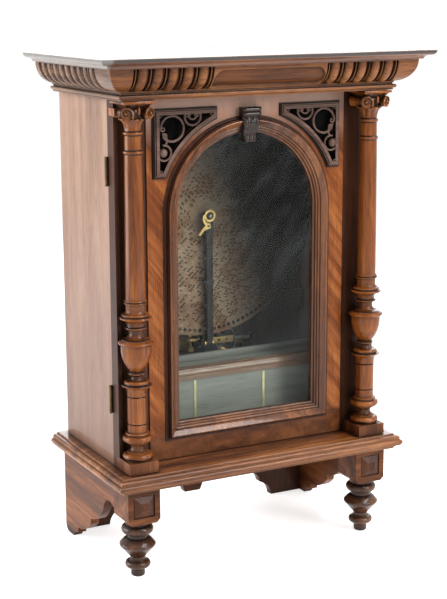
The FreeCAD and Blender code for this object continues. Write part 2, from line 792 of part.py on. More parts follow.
def column():
    """Turned column: base, drum, urn and tapering shaft, to the foot of the capital."""
    x, y = column_axis()
    z = door_bottom + plinth_height
    wide, tall = plinth_size / 58.5, low_turning / 320.0
    # radius and height above the plinth, for a 58.5 mm plinth and 320 mm of turning
    low = [
        ("to", 23.5, 0.0), ("to", 23.5, 1.5),
        ("arc", 28.3, 7.5, 23.0, 13.5),
        ("to", 16.5, 15.0), ("arc", 13.0, 22.5, 16.5, 31.0),
        ("to", 21.0, 33.0), ("to", 23.5, 35.5),
        ("arc", 28.0, 42.0, 22.0, 49.0),
        ("to", 17.6, 53.0), ("to", 18.3, 68.0), ("to", 18.3, 119.0),
        ("to", 17.0, 121.0), ("to", 18.6, 124.0), ("to", 19.8, 140.0),
        ("to", 26.0, 141.5), ("arc", 28.6, 145.5, 22.0, 151.0),
        ("arc", 12.5, 154.0, 10.2, 161.0),
        ("to", 15.5, 165.5), ("to", 15.5, 169.0), ("to", 13.4, 171.0),
        ("arc", 22.6, 194.0, 26.4, 219.0),
        ("to", 31.5, 222.5), ("to", 33.2, 225.5), ("to", 31.5, 228.5), ("to", 24.0, 233.0),
        ("arc", 14.5, 237.0, 12.9, 243.0),
        ("arc", 14.0, 250.0, 18.5, 256.0),
        ("to", 20.5, 264.0), ("to", 27.0, 269.0),
        ("arc", 28.6, 273.0, 26.5, 277.0),
        ("arc", 20.5, 280.0, 18.7, 291.0),
        ("to", 18.7, 296.5), ("arc", 22.2, 300.7, 18.7, 305.0),
        ("to", 18.6, 320.0),
    ]
    head = [
        ("to", 16.3, -4.0),
        ("arc", 18.4, 0.0, 15.8, 4.0),
        ("to", 15.6, 30.0),
        ("arc", 18.1, 34.0, 15.2, 38.0),
    ]
    return turned(stretched(low, wide, tall, z) + stretched(head, wide, 1.0, shaft_top), x, y)


def capital():
    """Scrolled capital: bell, four corner volutes, flared echinus and square abacus."""
    x, y = column_axis()
    z0 = shaft_top + 38.0
    abacus_z = door_top - abacus_thick
    bell = turned([("to", 15.2, z0), ("arc", 15.8, z0 + 10, 19.5, z0 + 17),
                   ("to", 21.5, z0 + 19), ("to", 21.5, z0 + 22), ("to", 17.0, z0 + 24)], x, y)
    size = abacus_size / 2
    abacus = box(x - size, x + size, y - size, y + size, abacus_z, door_top)
    low_z = abacus_z - 11
    squares = []
    for side, level in ((size * 0.5, low_z), (size * 0.9, abacus_z)):
        squares.append(Part.makePolygon([V(x + i * side, y + k * side, level) for i, k in
                                         ((-1, -1), (1, -1), (1, 1), (-1, 1), (-1, -1))]))
    echinus = Part.makeLoft(squares, True, True)
    core = box(x - 15, x + 15, y - 15, y + 15, z0 + 22, low_z)
    parts = [bell, abacus, echinus, core]
    centre_z = z0 + 33
    turn = radians(volute_turn)
    for i, k in ((-1, -1), (1, -1), (1, 1), (-1, 1)):
        way = V(i * sin(turn), k * cos(turn), 0)
        middle = V(x + i * volute_spread, y + k * volute_spread, centre_z)
        stem = Part.makeCylinder(volute_radius, 30, middle - way * 30, way)
        parts.append(Part.makeCylinder(volute_radius, volute_width, middle - way * 3, way))
        parts.append(stem.common(rod("z", (x, y, centre_z - 7), 24, 12)))
    block = box(-half - 3, x + 15, y + 10, front + stile_sink, centre_z - 7, centre_z + 7)
    parts.append(block)
    return joined(parts)


def columns():
    """Plinth, column and capital, each side."""
    save_pair("column_plinth", column_plinth())
    save_pair("column", column())
    save_pair("capital", capital())


def lock_box():
    """Outline of the lock on the inner face of the right stile."""
    x1 = inner - lock_inset
    return box(x1 - lock_width, x1, seam, seam + lock_thick, lock_height - lock_tall / 2,
               lock_height + lock_tall / 2)


def bolt_box(throw, grow):
    """Bolt of the lock, pushed out by a throw and grown by a margin."""
    x1 = inner - lock_inset
    y = seam + lock_thick / 2
    return box(x1 - lock_width + 6, x1 + throw, y - 2 - grow, y + 2 + grow,
               lock_height - 9 - grow, lock_height + 9 + grow)


def door_lock():
    """Rim lock inside the door, and the keep on the case side that its bolt slips behind."""
    save("door_lock", lock_box().cut(bolt_box(1, clear)))
    save("lock_bolt", bolt_box(0, 0))
    y0 = seam + clear
    low, high = lock_height - keep_tall / 2, lock_height + keep_tall / 2
    plate = box(inner - keep_plate, inner, y0, seam + lock_thick + 6, low, high)
    catch = box(inner - lock_inset + 1, inner - keep_plate, y0, y0 + keep_lip, low, high)
    save("lock_keep", Part.makeCompound([plate, catch]))


# ---------------------------------------------------------------- disc and bar
def disc_axis():
    return 0.0, disc_height


def hole_radius():
    return disc_radius - drive_hole_inset


def sprocket_drop():
    """Height of the drive holes below the disc's centre, on the sprocket's axis."""
    return sqrt(hole_radius() ** 2 - sprocket_offset ** 2)


def disc():
    """Steel tune disc with its ring of drive holes."""
    cx, cz = disc_axis()
    plate = rod("y", (cx, disc_face, cz), disc_radius, disc_thick)
    plate = plate.cut(rod("y", (cx, disc_face - 1, cz), spindle_radius + fit, disc_thick + 2))
    first = atan2(-sprocket_drop(), -sprocket_offset)
    side = drive_hole_size / 2
    holes = []
    for i in range(drive_holes):
        angle = first + 2 * pi * i / drive_holes
        hole = box(hole_radius() - side, hole_radius() + side, disc_face - 1, disc_back + 1,
                   -side, side)
        hole = spun(hole, (0, 0, 0), (0, -1, 0), degrees(angle))
        holes.append(moved(hole, cx, 0, cz))
    save("disc", plate.cut(Part.makeCompound(holes)))


def spindle():
    """Centre post from the bedplate, with a shoulder behind the disc and a domed end."""
    cx, cz = disc_axis()
    tip = bar_face_y() - 4.0
    post = rod("y", (cx, tip + 5, cz), spindle_radius, bed_face - tip - 5)
    shoulder = rod("y", (cx, disc_back + fit, cz), 18, 8)
    foot = rod("y", (cx, bed_face - 6, cz), 24, 6)
    dome = Part.makeSphere(spindle_radius, V(cx, tip + 5, cz))
    dome = dome.common(box(cx - 20, cx + 20, tip - 9, tip + 5, cz - 20, cz + 20))
    save("spindle", joined([post, shoulder, foot, dome]))


def roller_heights():
    """Heights of the rollers, evenly spread between the centre and the disc's edge."""
    high = disc_height - roller_first
    pitch = (high - disc_low - roller_last) / (roller_count - 1)
    return [high - i * pitch for i in range(roller_count)]


def bar_axis_y():
    return disc_face - clear - roller_radius


def bar_face_y():
    return bar_axis_y() - roller_radius - 2 * clear - bar_web


def pressure_bar():
    """Hinged bar in front of the disc, slotted for its rollers, with a brass eye at the top."""
    y = bar_axis_y()
    pivot_z = bar_pivot
    top = disc_height - 22.0
    w = bar_width / 2
    eye_y = bar_face_y()
    bar = box(-w, w, eye_y, y + 3.0, pivot_z + 6, top)
    for z in roller_heights():
        gap = roller_thick / 2 + 0.8
        bar = bar.cut(box(-w - 1, w + 1, eye_y + bar_web, y + 4, z - gap, z + gap))
    axle = rod("z", (0, y, pivot_z + 8), 1.5, top - pivot_z - 12)
    eye = rod("y", (0, eye_y, disc_height), 12.4, bar_eye_thick)
    tab = [("to", -9.0, top - 13), ("to", 9.0, top - 13), ("to", 8.0, disc_height),
           ("to", -8.0, disc_height)]
    tab = extrude(tab, lambda x, z: V(x, eye_y, z), (0, bar_eye_thick, 0))
    hole = rod("y", (0, eye_y - 1, disc_height), spindle_radius + 0.7, 6)
    foot = rod("x", (-w, y, pivot_z), 6.5, bar_width)
    heel = box(-w, w, y - 6, y + 3, pivot_z, pivot_z + 8)
    pin_hole = rod("x", (-w - 1, y, pivot_z), 2.0 + fit, bar_width + 2)
    latch_pin = rod("y", (-5.0, eye_y - 4.5, disc_height - 20), 2.0, 6)
    body = joined([bar, axle, eye, tab, foot, heel]).cut(hole).cut(pin_hole)
    save("pressure_bar", joined([body, latch_pin]))

    rollers = []
    for z in roller_heights():
        wheel = rod("z", (0, y, z - roller_thick / 2), roller_radius, roller_thick)
        rollers.append(wheel.cut(rod("z", (0, y, z - 9), 1.5 + fit, 20)))
    save("pressure_rollers", Part.makeCompound(rollers))

    # latch: a brass lever on the eye's tab, hooked beside the spindle's dome
    y0 = eye_y - 3.4
    px, pz = -5.0, disc_height - 20
    lever = [
        ("to", px + 5, pz - 4), ("to", px + 4, pz + 5),
        ("arc", -11.5, disc_height - 10, -12.5, disc_height + 3),
        ("to", -16.0, disc_height + 3),
        ("arc", -16.5, disc_height - 10, px - 6, pz + 2),
        ("arc", px - 16, pz - 8, px - 22, pz - 16),
        ("to", px - 18, pz - 19),
        ("arc", px - 11, pz - 11, px - 2, pz - 6),
    ]
    arm = extrude(lever, lambda x, z: V(x, y0, z), (0, 3.0, 0))
    save("latch_lever", arm.cut(rod("y", (px, y0 - 1, pz), 2.0 + fit, 6)))


def bar_bracket():
    """Brass bracket below the disc's rim that carries the bar's hinge pin."""
    y = bar_axis_y()
    z = bar_pivot
    w = bar_width / 2 + 0.5
    y1 = y + 7.0
    plate = box(-w - 3, 62.0, y1, y1 + 3.5, z - 6, z + 7)
    for x in (29.0, 46.0):
        plate = plate.cut(rod("y", (x, y1 - 1, z + 1), 3.0, 8))
    ears = []
    for x0 in (-w - 3, w):
        ear = box(x0, x0 + 3, y, y1 + 1, z - 6, z + 6)
        ears.append(ear)
        ears.append(rod("x", (x0, y, z), 6.0, 3))
    pin = rod("x", (-w - 3, y, z), 2.0, 2 * w + 6)
    arm = box(12.0, 24.0, y1 + 3, bed_face, z - 2, z + 6)
    post = box(12.0, 24.0, bed_face - 5, bed_face, z - 2, bedplate_bottom + 30)
    save("bar_bracket", joined([plate, pin, arm, post] + ears))


# ---------------------------------------------------------------- comb and stars
def star_axis_y():
    return disc_back + clear + star_radius


def star_heights():
    return [disc_height - star_first - i * star_pitch for i in range(star_count)]


def star_wheels():
    """Star wheels in a line behind the disc, which pluck the comb."""
    y = star_axis_y()
    stars = []
    for z in star_heights():
        points = []
        for i in range(2 * star_points):
            radius = star_radius if i % 2 == 0 else star_radius * 0.62
            angle = pi * i / star_points - pi / 2 + pi / star_points
            points.append((radius * cos(angle), y + radius * sin(angle)))
        star = prism_z(points, z - star_thick / 2, z + star_thick / 2)
        stars.append(star.cut(rod("z", (0, y, z - 5), 1.5 + fit, 10)))
    save("star_wheels", Part.makeCompound(stars))


def star_gantry():
    """Frame that holds the star wheels' axle off the bedplate."""
    y = star_axis_y()
    top, bottom = star_heights()[0], star_heights()[-1]
    spine = box(-5, 5, bed_face - 8, bed_face, bottom - 12, top + 12)
    upper = box(-5, 5, y - 4, bed_face - 7, top + 5, top + 12)
    lower = box(-5, 5, y - 4, bed_face - 7, bottom - 12, bottom - 5)
    axle = rod("z", (0, y, bottom - 12), 1.5, top - bottom + 24)
    save("star_gantry", joined([spine, upper, lower, axle]))


def combs():
    """Two steel combs, teeth towards the star wheels, on cast beds."""
    y = star_axis_y()
    heights = star_heights()
    z0, z1 = heights[-1] - star_pitch, heights[0] + star_pitch
    tip = star_radius + 1.5
    plate = box(-tip - comb_width, -tip, y - comb_thick / 2, y + comb_thick / 2, z0, z1)
    pitch = (z1 - z0) / comb_teeth
    slots = []
    for i in range(1, comb_teeth):
        z = z0 + i * pitch
        length = comb_width * (0.35 + 0.3 * i / comb_teeth)
        slots.append(box(-tip - length, -tip + 1, y - 5, y + 5, z - pitch * 0.13,
                         z + pitch * 0.13))
    save_pair("comb", plate.cut(Part.makeCompound(slots)))
    bed = box(-tip - comb_width + 2, -tip - comb_width * 0.68, y + comb_thick / 2, bed_face,
              z0, z1)
    save("comb_beds", Part.makeCompound([bed, mirrored(bed)]))


def bedplate():
    """Cast iron bedplate, with a round boss at the centre and rounded corners."""
    w = bedplate_width / 2
    r = 24.0
    steps = [
        ("to", -w + r, bedplate_bottom), ("to", w - r, bedplate_bottom),
        ("arc", w - r * 0.293, bedplate_bottom + r * 0.293, w, bedplate_bottom + r),
        ("to", w, bedplate_top - 90), ("to", w - 70, bedplate_top),
        ("to", -w + 70, bedplate_top), ("to", -w, bedplate_top - 90),
        ("to", -w, bedplate_bottom + r),
        ("arc", -w + r * 0.293, bedplate_bottom + r * 0.293, -w + r, bedplate_bottom),
    ]
    plate = extrude(steps, lambda x, z: V(x, bed_face, z), (0, bedplate_thick, 0))
    save("bedplate", plate)


# ---------------------------------------------------------------- motor
def sprocket_axis():
    """Plan position of the vertical sprocket shaft behind the disc."""
    pitch_radius = hole_radius() * sprocket_teeth / drive_holes
    return -sprocket_offset, (disc_face + disc_back) / 2 + pitch_radius


def crown_level():
    """Height of the underside of the crown wheel's rim."""
    return sprocket_level() - crown_drop


def sprocket_level():
    return disc_height - sprocket_drop()


def train_axis():
    """Line of the intermediate shaft, below the crown wheel's teeth."""
    radius = crown_module * crown_pinion_teeth / 2
    return sprocket_axis()[1], crown_level() - crown_module - radius


def barrel_height():
    """Height of the barrel's axis, one gear distance from the intermediate shaft."""
    y, z = train_axis()
    distance = gear_module * (great_teeth + great_pinion_teeth) / 2
    dy = y - barrel_y
    return z - sqrt(distance ** 2 - dy ** 2)


def fan_axis():
    """Line of the governor's shaft, behind and below the intermediate shaft."""
    y, z = train_axis()
    distance = fan_module * (fan_wheel_teeth + fan_pinion_teeth) / 2
    angle = radians(-31)
    return y + distance * cos(angle), z + distance * sin(angle)


def mesh_turn(teeth, own_axis, other_axis):
    """Turn that points a tooth space of a gear at another axis, in degrees."""
    angle = degrees(atan2(other_axis[1] - own_axis[1], other_axis[0] - own_axis[0]))
    return angle + 180.0 / teeth


def tooth_turn(own_axis, other_axis):
    """Turn that points a tooth of a gear at another axis, in degrees."""
    return degrees(atan2(other_axis[1] - own_axis[1], other_axis[0] - own_axis[0]))


def drive_sprocket():
    """Vertical shaft with the pin wheel that drives the disc and the crown wheel below."""
    x, y = sprocket_axis()
    z = sprocket_level()
    pitch_radius = y - (disc_face + disc_back) / 2
    hub = rod("z", (x, y, z - 4.5), pitch_radius - 3.2, 9)
    pins = []
    for i in range(sprocket_teeth):
        pin = Part.makeCone(pin_radius + 0.5, pin_radius * 0.6, 5.6,
                            V(0, -(pitch_radius - 4.0), 0), V(0, -1, 0))
        pin = spun(pin, (0, 0, 0), (0, 0, 1), 360.0 * i / sprocket_teeth)
        pins.append(moved(pin, x, y, z))
    radius = crown_module * crown_teeth / 2
    rim_top = crown_level() + 4.0
    rim = rod("z", (x, y, crown_level()), radius + 1.2, 4.0)
    teeth = []
    for i in range(crown_teeth):
        w = crown_module * 0.62
        slant = [("to", -w, crown_level() + 0.2), ("to", w, crown_level() + 0.2),
                 ("to", w * 0.42, crown_level() - 2 * crown_module),
                 ("to", -w * 0.42, crown_level() - 2 * crown_module)]
        tooth = extrude(slant, lambda u, v: V(radius - 2.2, u, v), (3.4, 0, 0))
        tooth = spun(tooth, (0, 0, 0), (0, 0, 1), 360.0 * (i + 0.5) / crown_teeth)
        teeth.append(moved(tooth, x, y, 0))
    shaft = rod("z", (x, y, crown_level() - 22), 3.0, z + 22 - crown_level() + 22)
    neck = rod("z", (x, y, rim_top), 6.0, z - 4.5 - rim_top)
    save("drive_sprocket", joined([hub, rim, shaft, neck] + pins + teeth))


def sprocket_bracket():
    """Brass frame from the bedplate with a bearing above and below the sprocket."""
    x, y = sprocket_axis()
    top = sprocket_level() + 20
    low = crown_level() - 20
    spine_y = bed_face - 3.5
    spine = box(x - 15, x + 15, spine_y, bed_face, low - 6, top + 30)
    window = box(x - 10.5, x + 10.5, spine_y - 1, bed_face + 1, sprocket_level() - 4,
                 sprocket_level() + 4)
    spine = spine.cut(window)
    arms = []
    for z0 in (low - 6, top - 6):
        arm = prism_z([(x - 10, spine_y + 1), (x - 6, y - 6), (x + 6, y - 6),
                       (x + 10, spine_y + 1)], z0, z0 + 8)
        arms.append(arm)
    body = joined([spine] + arms)
    save("sprocket_bracket", body.cut(rod("z", (x, y, low - 20), 3.0 + fit, top - low + 60)))


def intermediate_shaft():
    """Shaft with the crown pinion, the great wheel's pinion and the governor's wheel."""
    y, z = train_axis()
    x_crown = sprocket_axis()[0] + crown_module * crown_teeth / 2
    shaft = rod("x", (x_crown - 6, y, z), 4.0, motor_right + 2 - x_crown + 6)
    barrel_axis = (barrel_y, barrel_height())
    big = gear(great_pinion_teeth, gear_module, 10, 3.9,
               mesh_turn(great_pinion_teeth, (y, z), barrel_axis))
    big = moved(big, motor_left + plate_thick + 3, y, z)
    crown = gear(crown_pinion_teeth, crown_module, 7, 3.9, 90.0)
    crown = moved(crown, x_crown - 3.5, y, z)
    wheel = gear(fan_wheel_teeth, fan_module, 3, 3.9,
                 mesh_turn(fan_wheel_teeth, (y, z), fan_axis()))
    wheel = moved(wheel, barrel_left + fan_wheel_offset, y, z)
    save("intermediate_shaft", joined([shaft, big, crown, wheel]))


def governor():
    """Governor: pinion and two air vanes on a thin shaft."""
    y, z = fan_axis()
    shaft = rod("x", (motor_left + 0.5, y, z), 2.5, motor_right + plate_thick - motor_left - 1)
    pinion = gear(fan_pinion_teeth, fan_module, 6, 2.4, tooth_turn((y, z), train_axis()))
    pinion = moved(pinion, barrel_left + fan_wheel_offset - 1.5, y, z)
    vanes = box(78.0, 106.0, y - fan_radius, y + fan_radius, z - 0.6, z + 0.6)
    save("governor", joined([shaft, pinion, vanes]))


def spring_barrel():
    """Spring barrel with the great wheel on its left end."""
    y, z = barrel_y, barrel_height()
    drum = rod("x", (barrel_left, y, z), barrel_radius, barrel_right - barrel_left)
    cap = rod("x", (barrel_right, y, z), 16, 2.5)
    wheel = gear(great_teeth, gear_module, 6, arbor_radius,
                 tooth_turn((y, z), train_axis()))
    wheel = moved(wheel, motor_left + plate_thick + 5, y, z)
    hub = rod("x", (motor_left + plate_thick + 5, y, z), 20, barrel_left + 1 -
              motor_left - plate_thick - 5)
    bore = rod("x", (0, y, z), arbor_radius + fit, 200)
    groove = rod("x", (barrel_left + 6, y, z), barrel_radius + 1, barrel_right - barrel_left - 12)
    groove = groove.cut(rod("x", (barrel_left, y, z), barrel_radius - 1.5, 100))
    save("spring_barrel", joined([drum.cut(groove), cap, wheel, hub]).cut(bore))


def motor_frame():
    """Two iron plates on feet, with spacer pillars between them."""
    yb, zb = barrel_y, barrel_height()
    yt, zt = train_axis()
    yf, zf = fan_axis()
    plates = []
    for x0 in (motor_left, motor_right):
        points = [(yb - 44, base_top), (yb + 58, base_top), (yb + 58, base_top + 8),
                  (yb + 40, base_top + 30), (yf + 9, zf - 20), (yf + 9, zf + 8),
                  (yt + 9, zt + 9), (yt - 9, zt + 9), (yb - 22, zb + 20), (yb - 30, zb - 30),
                  (yb - 44, base_top + 8)]
        steps = [("to",) + p for p in points]
        plate = extrude(steps, lambda y, z: V(x0, y, z), (plate_thick, 0, 0))
        plate = plate.cut(rod("x", (x0 - 1, yb, zb), arbor_radius + fit, plate_thick + 2))
        plate = plate.cut(rod("x", (x0 - 1, yt, zt), 4.0 + fit, plate_thick + 2))
        plate = plate.cut(rod("x", (x0 - 1, yf, zf), 2.5 + fit, plate_thick + 2))
        plates.append(plate)
    pillars = []
    gap = motor_right - motor_left
    for y, z in ((yb - 34, base_top + 14), (yb + 48, base_top + 12)):
        pillars.append(rod("x", (motor_left + 1, y, z), 5, gap))
    save("motor_frame", joined(plates + pillars))


def crank():
    """Winding arbor through the case side, with its arm, and a turned wooden grip."""
    y, z = barrel_y, barrel_height()
    x_arm = side_face + crank_reach - 12
    arbor = rod("x", (motor_left - 2, y, z), arbor_radius, x_arm - motor_left + 10)
    boss = rod("x", (x_arm - 2, y, z), 12, 12)
    end = rod("x", (x_arm, y, z - crank_throw), 9, 8)
    arm = [("to", -9.0, 0.0), ("to", 9.0, 0.0), ("to", 6.5, -crank_throw),
           ("to", -6.5, -crank_throw)]
    web = extrude(arm, lambda u, v: V(x_arm + 1, y + u, z + v), (6, 0, 0))
    pin = rod("x", (x_arm + 4, y, z - crank_throw), 3.0, grip_length + 4)
    save("winding_crank", joined([arbor, boss, end, web, pin]))
    grip = [
        ("to", grip_radius * 0.6, 0.0), ("arc", grip_radius, grip_length * 0.35,
                                         grip_radius * 0.8, grip_length * 0.7),
        ("arc", grip_radius * 0.9, grip_length * 0.95, grip_radius * 0.5, grip_length),
    ]
    body = turned(grip, 0.0, 0.0).cut(rod("z", (0, 0, -1), 3.0 + fit, grip_length))
    body = spun(body, (0, 0, 0), (0, 1, 0), 90)
    save("crank_grip", moved(body, x_arm + 9, y, z - crank_throw))
    bush = rod("x", (inner + 1, y, z), arbor_radius + 3, wall - 1)
    flange = rod("x", (side_face, y, z), 20, 3)
    hole = rod("x", (inner - 1, y, z), arbor_radius + fit * 4, wall + 6)
    save("crank_bush", joined([bush, flange]).cut(hole))


def main():
    os.makedirs("parts", exist_ok=True)
    base_board()
    cornice()
    front_feet()
    aprons()
    case_panels()
    lower_compartment()
    bed_rails()
    hinges()
    door_panel()
    door_stiles()
    arch_moulding()
    door_glass()
    save("keystone", keystone_solid(0.0))
    fret()
    columns()
    door_lock()
    disc()
    spindle()
    pressure_bar()
    bar_bracket()
    star_wheels()
    star_gantry()
    combs()
    bedplate()
    drive_sprocket()
    sprocket_bracket()
    intermediate_shaft()
    governor()
    spring_barrel()
    motor_frame()
    crank()


main()
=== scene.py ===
# %% [markdown]
# # A disc music box in walnut
# This lesson dresses an upright disc music box: a tall walnut case with a glazed
# door, turned columns, a gadrooned cornice and a steel tune disc behind the glass.
# The shapes that carry and move were made earlier as solids and are loaded here as a
# fixed frame. Each cell adds one piece or one finish, and says why it is made that way.

# %% Load the frame
import math

import bmesh
import bpy
from bmesh.types import BMEdge, BMFace, BMVert
from mathutils import Matrix, Vector


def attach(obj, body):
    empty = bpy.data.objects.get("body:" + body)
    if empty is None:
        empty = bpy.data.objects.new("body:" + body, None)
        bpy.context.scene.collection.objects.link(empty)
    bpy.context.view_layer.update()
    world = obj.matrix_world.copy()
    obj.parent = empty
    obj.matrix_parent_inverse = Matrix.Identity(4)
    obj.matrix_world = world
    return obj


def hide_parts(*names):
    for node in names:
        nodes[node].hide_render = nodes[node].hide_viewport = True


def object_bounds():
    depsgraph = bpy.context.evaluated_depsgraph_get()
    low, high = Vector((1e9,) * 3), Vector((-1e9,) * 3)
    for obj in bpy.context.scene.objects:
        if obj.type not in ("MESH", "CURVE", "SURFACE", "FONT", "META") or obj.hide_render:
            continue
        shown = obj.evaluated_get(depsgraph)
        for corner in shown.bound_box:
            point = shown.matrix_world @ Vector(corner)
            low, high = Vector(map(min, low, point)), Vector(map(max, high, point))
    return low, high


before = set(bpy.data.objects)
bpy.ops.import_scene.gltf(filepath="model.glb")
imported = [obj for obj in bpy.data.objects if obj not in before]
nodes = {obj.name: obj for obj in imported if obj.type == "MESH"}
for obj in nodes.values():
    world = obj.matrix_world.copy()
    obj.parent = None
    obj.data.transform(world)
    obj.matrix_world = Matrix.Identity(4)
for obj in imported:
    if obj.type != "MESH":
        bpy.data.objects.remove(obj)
cad_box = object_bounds()
size = (cad_box[1] - cad_box[0]) * 1000
print("frame holds", len(nodes), "parts,", [round(v, 1) for v in size], "mm overall")

# %% [markdown]
# ## Camera
# The box stands a little to the right of us and turned, so that its left side shows.
# A long lens keeps the columns nearly parallel. The camera's matrix is built from
# three turns: across, down, and a slight roll. The focal length is counted in dots of
# a frame that is 599 dots tall. The lens shift only slides the picture in its frame, so
# the perspective of the case is untouched.

# %% Aim the camera
FRAME_TALL = 599
FOCAL = 1431.875
SENSOR = 36
EYE = (-1.309156, -2.437259, 1.093927)


def placed(name, data):
    """A camera, a lamp or a mesh, set in the scene."""
    item = bpy.data.objects.new(name, data)
    bpy.context.scene.collection.objects.link(item)
    return item


across, down, roll = math.radians(26.821), math.radians(11.95), math.radians(0.437)
look = Vector((math.sin(across) * math.cos(down), math.cos(across) * math.cos(down),
               -math.sin(down)))
right = Vector((math.cos(across), -math.sin(across), 0))
up = right.cross(look)
tilted = Matrix((right, up, -look)).transposed().to_4x4() @ Matrix.Rotation(-roll, 4, "Z")
lens = bpy.data.cameras.new("camera")
lens.sensor_width = SENSOR
lens.lens = FOCAL * SENSOR / FRAME_TALL
lens.shift_x, lens.shift_y = 28.5 / FRAME_TALL, -7.5 / FRAME_TALL
lens.clip_end = 100
camera = placed("camera", lens)
camera.matrix_world = Matrix.Translation(EYE) @ tilted
bpy.context.scene.camera = camera
print("camera", round(lens.lens, 1), "mm lens, looking", [round(v, 3) for v in look])

# %% [markdown]
# ## Shader sums as plain Python
# A finish is a web of nodes, and most of them only add and multiply. `Feed` wraps one
# socket, so that `1 - mask` or `grain * 0.3 + 0.2` writes the Math nodes by itself.
# Colours are never put through a Math node, which would turn them grey: they go
# through `blend`. Every other node comes from one method, `Finish.add`, which sets the
# node's own choices first and then its values and links. The light of the world is
# made the same way.

# %% Wrap a socket
class Feed:
    """One output of a node; sums with it add Math nodes."""

    def __init__(self, finish, socket):
        self.finish, self.socket = finish, socket

    def twin(self, out):
        """Another output of the same node."""
        return Feed(self.finish, self.socket.node.outputs[out])

    def __add__(self, other):
        return self.finish.maths("ADD", self, other)

    __radd__ = __add__

    def __mul__(self, other):
        return self.finish.maths("MULTIPLY", self, other)

    __rmul__ = __mul__

    def __sub__(self, other):
        return self.finish.maths("SUBTRACT", self, other)

    def __rsub__(self, other):
        return self.finish.maths("SUBTRACT", other, self)

    def __truediv__(self, other):
        return self.finish.maths("DIVIDE", self, other)

    def __pow__(self, other):
        return self.finish.maths("POWER", self, other)

    def __abs__(self):
        return self.finish.maths("ABSOLUTE", self)

    def __floor__(self):
        return self.finish.maths("FLOOR", self)

    def most(self, other):
        return self.finish.maths("MAXIMUM", self, other)

    def least(self, other):
        return self.finish.maths("MINIMUM", self, other)

    def over(self, edge, soft):
        """Rises from 0 to 1 as the value passes an edge, over a soft width."""
        return self.finish.add("ShaderNodeMapRange", {"interpolation_type": "SMOOTHSTEP"},
                               {"Value": self, "From Min": edge - soft, "From Max": edge + soft})


print("socket sums ready")

# %% A finish and its nodes
EDGE_GAIN = 7.0


class Finish:
    """One material in the making, or the world."""

    def __init__(self, name, kind="Material"):
        shelves = {"Material": bpy.data.materials, "World": bpy.data.worlds}
        self.kind, self.owner = kind, shelves[kind].new(name)
        self.owner.use_nodes = True
        self.tree = self.owner.node_tree
        self.tree.nodes.clear()

    def add(self, kind, choices=None, feeds=None, out=0):
        node = self.tree.nodes.new(kind)
        for key, value in (choices or {}).items():
            if key == "stops":
                self.set_stops(node.color_ramp, value)
            else:
                setattr(node, key, value)
        for key, value in (feeds or {}).items():
            if isinstance(value, Feed):
                self.tree.links.new(value.socket, node.inputs[key])
            else:
                node.inputs[key].default_value = value
        return Feed(self, node.outputs[out])

    def maths(self, operation, *terms):
        return self.add("ShaderNodeMath", {"operation": operation}, dict(enumerate(terms)))

    def set_stops(self, ramp, stops):
        ramp.elements.remove(ramp.elements[1])
        ramp.elements[0].position, ramp.elements[0].color = stops[0][0], (*stops[0][1], 1)
        for place, tint in stops[1:]:
            ramp.elements.new(place).color = (*tint, 1)

    def blend(self, first, second, share):
        """Colour between two colours."""
        tints = [t if isinstance(t, Feed) else (*t, 1) for t in (first, second)]
        choices = {"data_type": "RGBA", "blend_type": "MIX"}
        return self.add("ShaderNodeMix", choices, {0: share, 6: tints[0], 7: tints[1]}, out=2)

    def ramp(self, value, stops):
        return self.add("ShaderNodeValToRGB", {"stops": stops}, {"Fac": value})

    def place(self, scale=(1, 1, 1), shift=(0, 0, 0), turn=(0, 0, 0)):
        """A point of the piece in its own space, stretched to suit a pattern."""
        spot = self.add("ShaderNodeTexCoord", out="Object")
        if any(turn):
            spot = self.add("ShaderNodeMapping", feeds={"Vector": spot, "Rotation": turn})
        return self.add("ShaderNodeMapping",
                        feeds={"Vector": spot, "Scale": scale, "Location": shift})

    def at(self, axis):
        """X, Y or Z of a point of the piece in its own space, in metres."""
        return self.add("ShaderNodeSeparateXYZ", feeds={"Vector": self.place()}, out=axis)

    def facing_up(self):
        """1 on a level top, 0 on a wall, and -1 underneath."""
        normal = self.add("ShaderNodeTexCoord", out="Normal")
        return self.add("ShaderNodeSeparateXYZ", feeds={"Vector": normal}, out="Z")

    def noise(self, where, scale, detail=4.0, rough=0.55, twist=0.0):
        feeds = {"Vector": where, "Scale": scale, "Detail": detail, "Roughness": rough,
                 "Distortion": twist}
        return self.add("ShaderNodeTexNoise", feeds=feeds)

    def crevice(self, reach):
        """1 deep in a corner, 0 in the open."""
        choices = {"samples": 6, "only_local": False}
        open_air = self.add("ShaderNodeAmbientOcclusion", choices, {"Distance": reach}, out="AO")
        return 1 - open_air

    def edge(self, radius):
        """1 along a sharp outer edge, 0 on a flat face."""
        soft = self.add("ShaderNodeBevel", {"samples": 4}, {"Radius": radius})
        flat = self.add("ShaderNodeNewGeometry", out="Normal")
        turned = self.add("ShaderNodeVectorMath", {"operation": "DOT_PRODUCT"},
                          {0: soft, 1: flat}, out="Value")
        return (1 - turned) * EDGE_GAIN

    def bump(self, height, depth):
        return self.add("ShaderNodeBump",
                        feeds={"Height": height, "Distance": depth, "Strength": 1.0})

    def looked_at(self):
        """1 for what the camera, gloss or glass sees, 0 for what only gives light."""
        camera = self.add("ShaderNodeLightPath", out="Is Camera Ray")
        return camera.most(camera.twin("Is Glossy Ray")).most(camera.twin("Is Transmission Ray"))

    def done(self, **feeds):
        """Ends the finish in one Principled shader."""
        words = {key.replace("_", " "): value for key, value in feeds.items()}
        return self.end(self.add("ShaderNodeBsdfPrincipled", feeds=words))

    def end(self, surface):
        last = self.tree.nodes.new(f"ShaderNodeOutput{self.kind}")
        self.tree.links.new(surface.socket, last.inputs["Surface"])
        return self.owner


print("finishes can be mixed")

